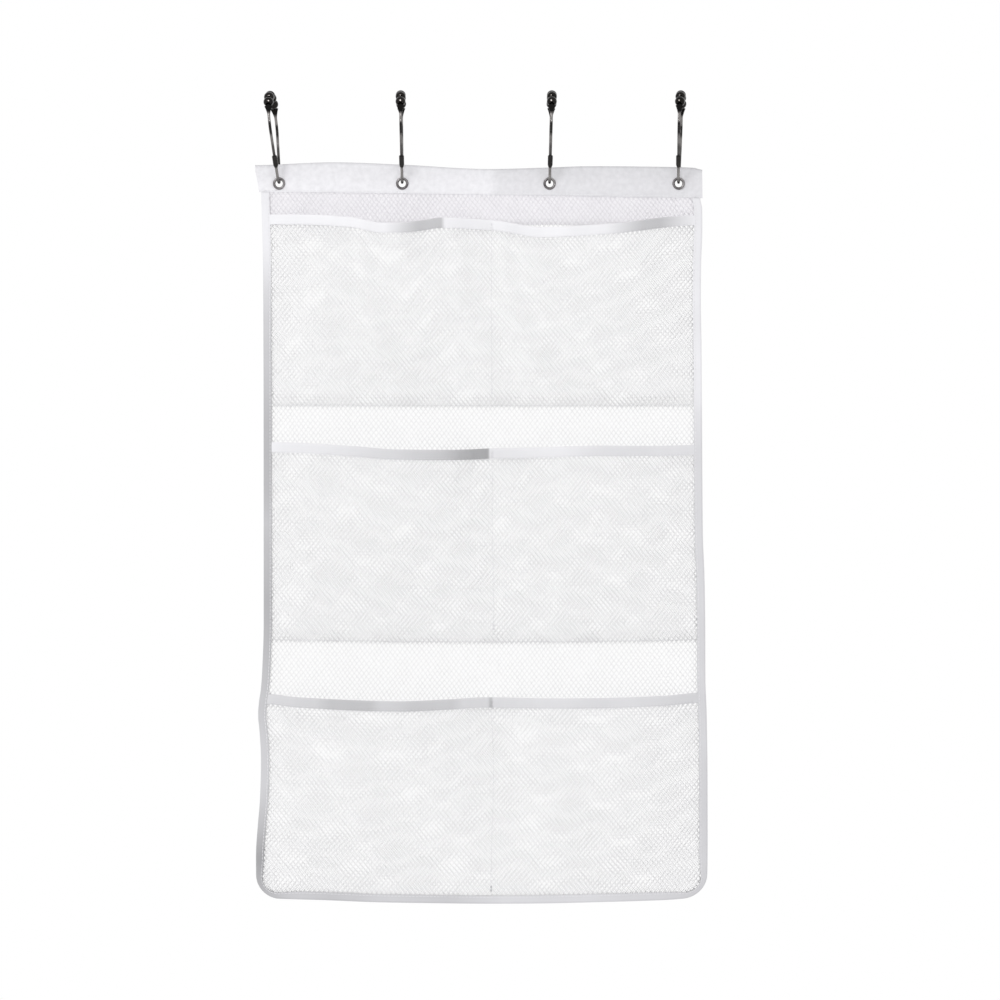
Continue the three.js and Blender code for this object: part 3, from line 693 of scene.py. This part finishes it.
def level_surface(depth):
    def surface(x, z):
        return np.column_stack([x, np.full_like(x, depth), z])

    return surface


net_top = hem_bottom + NET_IN_HEM
back_low, back_high = (-net_half_width, net_bottom), (net_half_width, net_top)
back_lines = trimmed(slanted_lines(back_low, back_high), in_panel)
back_stretching = stretching(back_low, back_high, 0.0)
back_net = net_piece("back_net", [(back_lines, back_stretching, level_surface(0))])
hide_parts("back_mesh")

header_low = (-net_half_width, hem_bottom - HEADER_DROP)
header_lines = slanted_lines(header_low, back_high, cell=HEADER_CELL)
header_layer = (header_lines, back_stretching, level_surface(-sewn_offset), HEADER_FINENESS)
header_net = net_piece("header_net", [header_layer], header_thread)


# Pocket strips


class Strip:
    """One row of two pockets, sewn as one strip of net with a tape along its mouth."""

    def __init__(self, row, mouth_curve, lean_curve, puckers, tones, thread, phase, folded=True):
        self.row = row
        self.thread = thread
        self.phase = phase
        self.satin = satin_material(f"{row}_mouth_satin_painted_shade", (0.84, 0.84, 0.855), (0.92, 0.92, 0.935))
        # Painted shade across the tape, where it turns away from the light
        shade_along(self.satin, "X", tones)
        low, high = mm_box(f"{row}_pocket_mesh")
        self.mouth = high[2]
        self.foot = low[2]
        self.height = self.mouth - self.foot
        self.drop_at = smooth_curve(mouth_curve)
        self.lean_at = smooth_curve(lean_curve)
        self.puckers = puckers
        self.folded = folded
        self.flat_foot = FOLD_HEIGHT if folded else BINDING_WIDTH
        self.seam_foot = self.height - self.flat_foot

    def swell(self, x):
        """How far a pocket stands open across its width, from 0 at its sides to 1."""
        left = np.where(x < SEAM_X, -pocket_half_width, SEAM_X + SEAM_WIDTH / 2)
        right = np.where(x < SEAM_X, SEAM_X - SEAM_WIDTH / 2, pocket_half_width)
        return np.sin(np.pi * np.clip((x - left) / (right - left), 0, 1))

    def point(self, x, below):
        """The point a distance below the mouth on the flat strip, laid on the flat panel."""
        x = np.asarray(x, float)
        up = 1 - below / self.height
        start = self.flat_foot / self.height
        end = 1 - TAPE_HEIGHT / self.height
        rise = np.sin(np.clip((up - start) / (end - start), 0, 1) * np.pi / 2)
        swell = self.swell(x)
        depth = sewn_offset + (mouth_offset - sewn_offset) * rise + POCKET_DEPTH * rise * swell
        leaning = (1 - smoothstep(below / LEAN_REACH)) * np.minimum(1, LEAN_ONSET * swell)
        depth += self.lean_at(x) * leaning
        puckered = np.minimum(1, PUCKER_ONSET * swell * rise)
        for place, level, amount, reach, reach_up, ripple in self.puckers:
            near = np.exp(-(((x - place) / reach) ** 2) - ((up - level) / reach_up) ** 2)
            depth += amount * near * np.cos(2 * np.pi * (x - place) / ripple) * puckered
        z = self.foot + (self.height - self.drop_at(x)) * up
        return np.column_stack([x, -depth, z])

    def surface(self, x, z):
        return self.point(x, self.mouth - z)

    def fold_surface(self, x, z):
        return self.surface(x, z) + [0, -sewn_offset, 0]

    def in_fold(self, points):
        return points[:, 1] < self.foot + FOLD_HEIGHT


def pocket_net(strip):
    """A strip's net, with its foot turned up in front where it is folded."""
    low, high = (-net_half_width + CELL / 4, strip.foot), (net_half_width, strip.mouth)
    lines = trimmed(slanted_lines(low, high, STRIP_SLOPE), in_panel)
    stretched = stretching(low, high, strip.phase)
    layers = [(lines, stretched, strip.surface)]
    if strip.folded:
        layers.append((trimmed(lines, strip.in_fold), stretched, strip.fold_surface))
    return net_piece(f"{strip.row}_pocket_net", layers, strip.thread)


upper_forms = (UPPER_MOUTH, UPPER_LEAN, UPPER_PUCKERS, UPPER_PAINTED_SHADE)
middle_forms = (MIDDLE_MOUTH, MIDDLE_LEAN, MIDDLE_PUCKERS, MIDDLE_PAINTED_SHADE)
lower_forms = (LOWER_MOUTH, LOWER_LEAN, LOWER_PUCKERS, LOWER_PAINTED_SHADE)
strips = [
    Strip("upper", *upper_forms, painted_lighter_net_thread, phase=1.0),
    Strip("middle", *middle_forms, net_thread, phase=2.6),
    Strip("lower", *lower_forms, painted_lighter_net_thread, phase=4.3, folded=False),
]
for strip in strips:
    net = pocket_net(strip)
    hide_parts(f"{strip.row}_pocket_mesh")


# Folded tapes and hem


def folded_outline(inner, leaf, drop, steps=LEAF_STEPS):
    """Section of a cloth folded over an edge, as (place to the front, place below the turn) points."""
    outer = inner + leaf
    turn = np.linspace(0, np.pi, TURN_STEPS)
    down = np.linspace(0, drop, steps)[1:]

    def leaf_at(place):
        return np.column_stack([np.full_like(down, place), down])

    over = np.column_stack([outer * np.cos(turn), -outer * np.sin(turn)])
    under = np.column_stack([-inner * np.cos(turn), -inner * np.sin(turn)])
    outside = [leaf_at(outer)[::-1], over, leaf_at(-outer)]
    lining = [leaf_at(-inner)[::-1], under, leaf_at(inner)]
    return np.concatenate(outside + lining)


def mouth_frames(strip, places):
    """The mouth's edge, the way down from it and the way to its front, at places across a strip."""
    edge = strip.point(places, 0)
    down = unit(strip.point(places, TAPE_HEIGHT) - edge)
    along = unit(np.gradient(edge, axis=0))
    front = unit(np.cross(down, along))
    return edge, down, front


def pocket_tape(strip):
    places = np.linspace(-pocket_half_width, pocket_half_width, TAPE_SECTIONS)
    edge, down, front = mouth_frames(strip, places)
    outline = folded_outline(fold_inner, TAPE_LEAF, TAPE_HEIGHT)
    flat = edge[:, None] + outline[None, :, :1] * front[:, None] + outline[None, :, 1:] * down[:, None]
    sections = hang(flat).reshape(flat.shape)
    return make_piece(f"{strip.row}_mouth_tape", *swept(sections), strip.satin, "satin_tape")


for strip in strips:
    tape = pocket_tape(strip)
    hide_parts(f"{strip.row}_pocket_tape")


def cut_holes(piece, centres, radius):
    """Punches round holes from front to back."""
    bpy.ops.object.select_all(action="DESELECT")
    for centre in centres:
        bpy.ops.mesh.primitive_cylinder_add(
            vertices=TURNED_SIDES,
            radius=radius * MM,
            depth=PUNCH_LENGTH * MM,
            location=tuple(centre * MM),
            rotation=(math.pi / 2, 0, 0),
        )
        punch = bpy.context.object
        cut = piece.modifiers.new("hole", "BOOLEAN")
        cut.object = punch
        cut.operation = "DIFFERENCE"
        cut.solver = "EXACT"
        graph = bpy.context.evaluated_depsgraph_get()
        punched = bpy.data.meshes.new_from_object(piece.evaluated_get(graph))
        piece.modifiers.clear()
        piece.data = punched
        bpy.data.objects.remove(punch)


def hem_cloth():
    fold = hem_top - hem_face
    sections, below = [], []
    for x in np.linspace(-hem_half, hem_half, HEM_SECTIONS):
        outline = folded_outline(fold_inner, HEM_LEAF, fold - hem_bottom - hem_low_edge(x))
        flat = np.column_stack([np.full(len(outline), x), -outline[:, 0], fold - outline[:, 1]])
        sections.append(hang(flat))
        below.append(outline[:, 1])
    cloth = make_piece("hem_cloth", *swept(sections), hem_weave, "hem_cloth")
    set_length(cloth, np.concatenate(below))
    return cloth


hem = hem_cloth()
cut_holes(hem, eyelet_centres, WASHER_HOLE_RADIUS)
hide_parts("top_hem")


# Edge binding


def panel_path(inset):
    """The panel's edge from the hem down the left side, along the bottom and up the right side, and the way
    inwards, shorter where the binding is narrower."""
    top = hem_bottom - LAYER_GAP
    radius = CORNER_RADIUS
    side_z = np.linspace(top, panel_bottom + radius, round((top - panel_bottom) / EDGE_STEP))
    turn = np.linspace(0, np.pi / 2, CORNER_STEPS)[1:-1]
    foot_x = np.linspace(-half_width + radius, 0, round(half_width / EDGE_STEP))
    side = np.column_stack([np.full_like(side_z, -half_width), side_z])
    corner = np.column_stack([np.cos(turn), np.sin(turn)])
    bend = [-half_width + radius, panel_bottom + radius] - radius * corner
    foot = np.column_stack([foot_x, np.full_like(foot_x, panel_bottom)])
    ways = [np.tile([1.0, 0], (len(side), 1)), corner, np.tile([0, 1.0], (len(foot), 1))]
    halves = np.concatenate([side, bend, foot]), np.concatenate(ways)
    edge, inward = (np.concatenate([half, half[-2::-1] * [-1, 1]]) for half in halves)
    head = smoothstep((edge[:, 1] - top) / BINDING_HEAD + 1)
    edge[:, 1] += head * hem_low_edge(edge[:, 0])
    to_corner = np.hypot(np.abs(edge[:, 0]) - half_width, edge[:, 1] - panel_bottom)
    inward *= 1 - CORNER_NARROWING * (1 - smoothstep(to_corner / CORNER_REACH))[:, None]
    return edge + inset * inward, inward


def binding_outline():
    """Section of the binding, as (place inwards, depth) points."""
    front, back = binding_low[1], binding_high[1]
    radius = (back - front) / 2
    outline = folded_outline(radius - TAPE_LEAF, TAPE_LEAF, BINDING_WIDTH - radius, BINDING_LEAF_STEPS)
    return np.column_stack([radius + outline[:, 1], (front + back) / 2 - outline[:, 0]])


def edge_binding():
    edge, inward = panel_path(0)
    sections = []
    outline = binding_outline()
    for place, way in zip(edge, inward):
        flat = place + outline[:, :1] * way
        sections.append(hang(np.column_stack([flat[:, 0], outline[:, 1], flat[:, 1]])))
    tape = make_piece("binding_tape", *swept(sections), binding_satin, "satin_tape")
    set_length(tape, np.repeat(travelled(edge), len(outline)))
    return tape


binding = edge_binding()
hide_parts("edge_binding")


# Stitches


def stitch_row(path, out):
    """Short arched stitches along a hung path, standing out of the cloth."""
    travel = travelled(path)
    along, height = np.array(STITCH_ARCH).T
    angles = np.linspace(0, 2 * np.pi, STITCH_SIDES, endpoint=False)
    sections = []
    for start in np.arange(STITCH_PITCH / 2, travel[-1] - STITCH_LENGTH, STITCH_PITCH):
        places = start + STITCH_LENGTH * along
        middle = np.column_stack([np.interp(places, travel, path[:, axis]) for axis in range(3)])
        middle += np.outer(STITCH_RADIUS * height, out)
        side = unit(np.cross(out, middle[-1] - middle[0]))
        ring = STITCH_RADIUS * (np.outer(np.cos(angles), side) + np.outer(np.sin(angles), out))
        sections.append(middle[:, None] + ring[None])
    return sections


def stitch_piece(name, rows, made, slot):
    """All the stitches of some rows as one piece."""
    stitches = [swept(section) for path, out in rows for section in stitch_row(path, out)]
    return make_piece(name, *joined(stitches), made, slot, sharp=False)


def flat_row(x, y, z):
    x, y, z = np.broadcast_arrays(np.asarray(x, float), y, z)
    return hang(np.column_stack([x, y, z]))


hem_row_half = hem_half - HEM_ROW_INSET
across = np.linspace(-hem_row_half, hem_row_half, HEM_ROW_STEPS)
hem_row = flat_row(across, -hem_face, hem_bottom + hem_low_edge(across) + STITCH_INSET)
hem_rows = [(hem_row, FRONT), (hem_row + 2 * hem_face * BACK, BACK)]
stitch_piece("hem_stitches", hem_rows, sewing_thread, "hem_cloth")

binding_row, _ = panel_path(BINDING_WIDTH - STITCH_INSET)
binding_faces = [(binding_low[1], FRONT), (binding_high[1], BACK)]
binding_rows = [(flat_row(binding_row[:, 0], face, binding_row[:, 1]), out) for face, out in binding_faces]
stitch_piece("binding_stitches", binding_rows, sewing_thread, "satin_tape")


def tape_row(strip):
    """The stitches along a strip's tape."""
    reach = pocket_half_width - TAPE_ROW_INSET
    edge, down, front = mouth_frames(strip, np.linspace(-reach, reach, TAPE_ROW_STEPS))
    return hang(edge + (TAPE_HEIGHT - STITCH_INSET) * down + tape_face * front)


def seam_row(strip, x, first, last):
    """The stitches down a strip's seam between two distances below its mouth."""
    below = np.linspace(first, last, SEAM_ROW_STEPS)
    return hang(strip.point(np.full_like(below, x), below) - NET_HALF * BACK)


def tack_rows(strip):
    """Rows of stitches side by side that fasten a strip's seam across its tape and at its foot."""
    rows = []
    over_tape = np.linspace(0, TAPE_HEIGHT, TACK_ROW_STEPS)[:, None]
    for row in TACK_ROWS:
        place = SEAM_X + row * TACK_PITCH
        edge, down, front = mouth_frames(strip, np.array([place - 1, place, place + 1]))
        rows.append((hang(edge[1] + over_tape * down[1] + tape_face * front[1]), FRONT))
        rows.append((seam_row(strip, place, strip.seam_foot - TACK_LENGTH, strip.seam_foot), FRONT))
    return rows


def strip_rows(strip):
    """The stitches down a strip's seam and along its turned-up foot."""
    rows = [(seam_row(strip, SEAM_X, TAPE_HEIGHT, strip.seam_foot), FRONT)]
    if strip.folded:
        reach = net_half_width - BINDING_WIDTH
        across = np.linspace(-reach, reach, TAPE_ROW_STEPS)
        rows.append((flat_row(across, -2 * sewn_offset - NET_HALF, strip.foot + STITCH_INSET), FRONT))
    return rows


for strip in strips:
    tape_rows = [(tape_row(strip), FRONT)] + tack_rows(strip)
    # The tape's stitches share its satin and so its painted shade, as at the dark tack on the lower seam
    stitch_piece(f"{strip.row}_tape_stitches", tape_rows, strip.satin, "satin_tape")
    stitch_piece(f"{strip.row}_pocket_stitches", strip_rows(strip), sewing_thread, "white_net")


# Eyelets


def half_round(first, last, depth, level):
    """A half-round lip between two radii, from the first to the last."""
    turn = np.linspace(0, np.pi, TURN_STEPS)
    middle, reach = (first + last) / 2, (first - last) / 2
    return [(middle + reach * math.cos(a), level + depth * math.sin(a)) for a in turn]


def eyelet_profile(low, high):
    """Section of an eyelet between two corners: a flange in front, a barrel and a curled end behind."""
    rim = (high[0] - low[0]) / 2
    barrel = EYELET_HOLE_RADIUS + EYELET_WALL
    flange_face = low[1] + EYELET_FLANGE_DEPTH
    curl_face = high[1] - EYELET_CURL_DEPTH
    flange = half_round(EYELET_HOLE_RADIUS, rim, -EYELET_FLANGE_DEPTH, flange_face)
    curled = half_round(barrel + EYELET_CURL_WIDTH, EYELET_HOLE_RADIUS, EYELET_CURL_DEPTH, curl_face)
    return flange + [(barrel, flange_face), (barrel, curl_face)] + curled


def washer_profile(low, high):
    """Section of a domed washer between two corners."""
    rim = (high[0] - low[0]) / 2
    crown = (high[1] - low[1]) * WASHER_CROWN
    dome = half_round(rim, WASHER_HOLE_RADIUS, crown, low[1] + WASHER_EDGE)
    return [(WASHER_HOLE_RADIUS, low[1]), (rim, low[1])] + dome


def plated_piece(name, profile, centre):
    return make_piece(name, *turned(profile, centre, BACK), eyelet_plate, "plated_eyelet")


for number, box, centre in zip(RINGS, eyelet_boxes, eyelet_centres):
    middle = centre * [1, 0, 1]
    eyelet = plated_piece(f"eyelet_{number}_turned", eyelet_profile(*box), middle)
    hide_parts(f"eyelet_{number}")
    washer_box = mm_box(f"eyelet_washer_{number}")
    washer = plated_piece(f"washer_{number}_turned", washer_profile(*washer_box), middle)
    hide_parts(f"eyelet_washer_{number}")


# Roller rings


leg_slope = math.asin((RING_RADIUS - RING_FOOT_RADIUS) / (RING_DROP - RING_FOOT_RADIUS))
leg_length = (RING_DROP - RING_FOOT_RADIUS) * math.cos(leg_slope)
leg_down = np.array([0, math.sin(leg_slope), -math.cos(leg_slope)])
leg_out = np.array([0, -math.cos(leg_slope), -math.sin(leg_slope)])
leg_top = RING_DROP * UP + RING_RADIUS * leg_out
socket_floor = LATCH_DROP + SOCKET_LENGTH - SOCKET_FLOOR


def wire_steps(length):
    return max(3, round(length / WIRE_STEP))


def leg_stretch(first, last):
    """Points of the front leg between two distances below the top arc."""
    below = np.linspace(first, last, wire_steps(abs(last - first)))
    return leg_top + np.outer(below, leg_down)


def arc_stretch(centre, radius, first, last):
    angle = np.linspace(first, last, wire_steps(radius * abs(last - first)))
    return np.column_stack([np.zeros_like(angle), radius * np.sin(angle), centre + radius * np.cos(angle)])


def ring_path():
    """The wire's middle line in the ring's own plane, from the socket's foot round to its other end."""
    quarter = math.pi / 2
    stretches = [
        leg_stretch(socket_floor + WIRE_RADIUS, leg_length),
        arc_stretch(RING_FOOT_RADIUS, RING_FOOT_RADIUS, -quarter - leg_slope, leg_slope - 3 * quarter),
        leg_stretch(leg_length, 0) * [1, -1, 1],
        arc_stretch(RING_DROP, RING_RADIUS, quarter + leg_slope, -quarter - leg_slope),
        leg_stretch(0, socket_floor - LATCH_GAP - WIRE_RADIUS),
    ]
    return np.concatenate([stretches[0]] + [stretch[1:] for stretch in stretches[1:]])


def stop_share(points):
    """How far the wire is flattened into a stop beside the last balls, from 0 to 1."""
    past = np.abs(np.arctan2(points[:, 1], points[:, 2] - RING_DROP)) - STOP_START
    rising = smoothstep(past / STOP_SHOULDER)
    falling = np.clip(1 - past / STOP_TAPER, 0, 1) ** STOP_HOLLOW
    return np.minimum(rising, falling)


def ring_sections():
    """Round sections along the wire, flattened at the stops and rounded at both ends."""
    path = ring_path()
    along = unit(np.gradient(path, axis=0))
    turn = np.linspace(0, np.pi / 2, WIRE_END_STEPS)[1:]
    taper = np.concatenate([np.cos(turn)[::-1], np.ones(len(path)), np.cos(turn)])
    taper = np.maximum(taper, WIRE_END_TIP)
    start = path[0] - WIRE_RADIUS * np.outer(np.sin(turn)[::-1], along[0])
    end = path[-1] + WIRE_RADIUS * np.outer(np.sin(turn), along[-1])
    path = np.concatenate([start, path, end])
    along = np.concatenate([np.repeat(along[:1], len(turn), 0), along, np.repeat(along[-1:], len(turn), 0)])
    rise = np.cross(along, LEFT)
    stop = stop_share(path)
    half = WIRE_RADIUS * taper * (1 + stop * (STOP_WIDTH / (2 * WIRE_RADIUS) - 1))
    thick = WIRE_RADIUS * taper * (1 - STOP_FLATTENING * stop)
    angles = np.linspace(0, 2 * np.pi, WIRE_SIDES, endpoint=False)
    across_part = np.cos(angles)[None, :, None] * half[:, None, None] * LEFT
    thick_part = np.sin(angles)[None, :, None] * (thick[:, None] * rise)[:, None]
    return path[:, None] + across_part + thick_part


def latch_socket():
    """A sleeve round the wire's upper end, slit towards the inside of the ring, on a solid foot."""
    inner = WIRE_RADIUS + SOCKET_CLEARANCE
    outer = inner + SOCKET_WALL
    core = WIRE_RADIUS / 2
    end = LATCH_DROP + SOCKET_LENGTH
    sleeve = [
        (inner + SOCKET_ROUND, LATCH_DROP),
        (outer - SOCKET_ROUND, LATCH_DROP),
        (outer, LATCH_DROP + SOCKET_ROUND),
        (outer, socket_floor),
        (inner, socket_floor),
        (inner, LATCH_DROP + SOCKET_ROUND),
    ]
    foot = [
        (core, socket_floor),
        (outer, socket_floor),
        (outer, end - SOCKET_TAPER),
        (inner, end),
        (core, end),
    ]
    slit = math.asin(SOCKET_SLIT / (inner + outer))
    angles = np.linspace(slit, 2 * np.pi - slit, TURNED_SIDES)
    spokes = np.outer(np.cos(angles), -leg_out) + np.outer(np.sin(angles), LEFT)
    radius, below = np.array(sleeve).T
    sections = leg_top + spokes[:, None] * radius[None, :, None] + below[None, :, None] * leg_down
    return [swept(sections), turned(foot, leg_top, leg_down)]


def ball_profile():
    """Section of a ball with a rounded bore."""
    half = math.sqrt(BALL_RADIUS**2 - (BORE_RADIUS + BORE_ROUND) ** 2)
    edge = math.asin(half / BALL_RADIUS)
    turn = np.linspace(-edge, edge, BALL_STEPS)
    profile = [(BALL_RADIUS * math.cos(a), BALL_RADIUS * math.sin(a)) for a in turn]
    mouth = half - BORE_ROUND
    return profile + [(BORE_RADIUS, mouth), (BORE_RADIUS, 0), (BORE_RADIUS, -mouth)]


ring_points, ring_faces = joined([swept(ring_sections())] + latch_socket())
all_balls = bpy.data.collections.new("roller_balls")
for number in RINGS:
    swing = joints[f"ring_{number}_swing"]
    foot = np.array(swing["pos_m"]) / MM
    top_ball = np.array(joints[f"ring_{number}_ball_{TOP_BALL}_spin"]["pos_m"]) / MM
    ring_y = unit(swing["axis"])
    ring_z = unit(top_ball - foot)
    turn_to = np.stack([np.cross(ring_y, ring_z), ring_y, ring_z])
    points = foot + ring_points @ turn_to
    name, body = f"ring_{number}_bent_wire", f"ring_{number}"
    wire = make_piece(name, points, ring_faces, wire_steel, "ring_steel", body)
    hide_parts(f"ring_{number}_wire")
    for ball in BALLS:
        spin = joints[f"ring_{number}_ball_{ball}_spin"]
        points, faces = turned(ball_profile(), np.array(spin["pos_m"]) / MM, spin["axis"])
        name, body = f"ring_{number}_roller_ball_{ball}", f"ring_{number}_roller_{ball}"
        roller = make_piece(name, points, faces, ball_steel, "ring_steel", body)
        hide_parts(f"ring_{number}_ball_{ball}")
        all_balls.objects.link(roller)


# Camera, light and floor


def seen_directly(tree):
    """1 for rays that show the background: from the camera, or by way of metal or glass."""
    path = add_node(tree, "ShaderNodeLightPath", {})
    either = combine(tree, "MAXIMUM", path["Is Camera Ray"], path["Is Glossy Ray"])
    return combine(tree, "MAXIMUM", either, path["Is Transmission Ray"])


def fade_to_white(tree, share, plain, white, output):
    """Lets a white shader take the place of a plain one by a share."""
    mixed = add_node(tree, "ShaderNodeMixShader", {"Fac": share, 1: plain, 2: white})
    tree.links.new(mixed["Shader"], tree.nodes[output].inputs["Surface"])


def white_world():
    world = bpy.data.worlds.new("studio")
    bpy.context.scene.world = world
    world.use_nodes = True
    tree = world.node_tree
    light = tree.nodes["Background"]
    light.inputs["Color"].default_value = (*WORLD_COLOUR, 1)
    light.inputs["Strength"].default_value = WORLD_LIGHT
    white = add_node(tree, "ShaderNodeBackground", {"Color": (1, 1, 1, 1)})["Background"]
    fade_to_white(tree, seen_directly(tree), light.outputs["Background"], white, "World Output")


def add_lamp(name, place, target, size, power):
    data = bpy.data.lights.new(name, "AREA")
    data.shape = "DISK"
    data.size = size
    data.energy = power
    lamp = bpy.data.objects.new(name, data)
    lamp.location = place
    lamp.rotation_euler = (Vector(target) - Vector(place)).to_track_quat("-Z", "Y").to_euler()
    bpy.context.scene.collection.objects.link(lamp)
    return lamp


def add_camera():
    data = bpy.data.cameras.new("camera")
    data.sensor_width = SENSOR
    data.lens = SENSOR * CAMERA_DISTANCE / PHOTO_WIDTH
    data.clip_end = CAMERA_REACH * MM
    camera = bpy.data.objects.new("camera", data)
    camera.location = (PHOTO_CENTRE[0] * MM, -CAMERA_DISTANCE * MM, PHOTO_CENTRE[1] * MM)
    camera.rotation_euler = (math.pi / 2, 0, 0)
    bpy.context.scene.collection.objects.link(camera)
    bpy.context.scene.camera = camera


def add_floor():
    """A pale floor that keeps the object's shadow and fades into the white background."""
    made = new_material("pale_floor", roughness=0.8)
    mottle(made, (0.88, 0.88, 0.88), (0.9, 0.9, 0.9), scale=3)
    tree = made.node_tree
    reach = add_node(tree, "ShaderNodeVectorMath", {0: own_place(tree)}, operation="LENGTH")["Value"]
    limits = {"Value": reach, "From Min": FADE_START * MM, "From Max": FADE_END * MM}
    fade = add_node(tree, "ShaderNodeMapRange", limits, interpolation_type="SMOOTHSTEP")["Result"]
    share = combine(tree, "MULTIPLY", seen_directly(tree), fade)
    plain = tree.nodes["Principled BSDF"].outputs["BSDF"]
    white = add_node(tree, "ShaderNodeEmission", {})["Emission"]
    fade_to_white(tree, share, plain, white, "Material Output")
    bpy.ops.mesh.primitive_plane_add(size=FLOOR_WIDTH * MM, location=(0, 0, -FLOOR_DROP * MM))
    floor = bpy.context.object
    floor.name = "floor"
    floor.data.materials.append(made)


add_camera()
white_world()
add_lamp(*KEY_LAMP)
add_lamp(*FRONT_LAMP)
gloss = add_lamp(*GLOSS_LAMP)
gloss.light_linking.receiver_collection = all_balls
gloss.visible_camera = False
add_floor()
bpy.context.scene.view_settings.view_transform = "Standard"
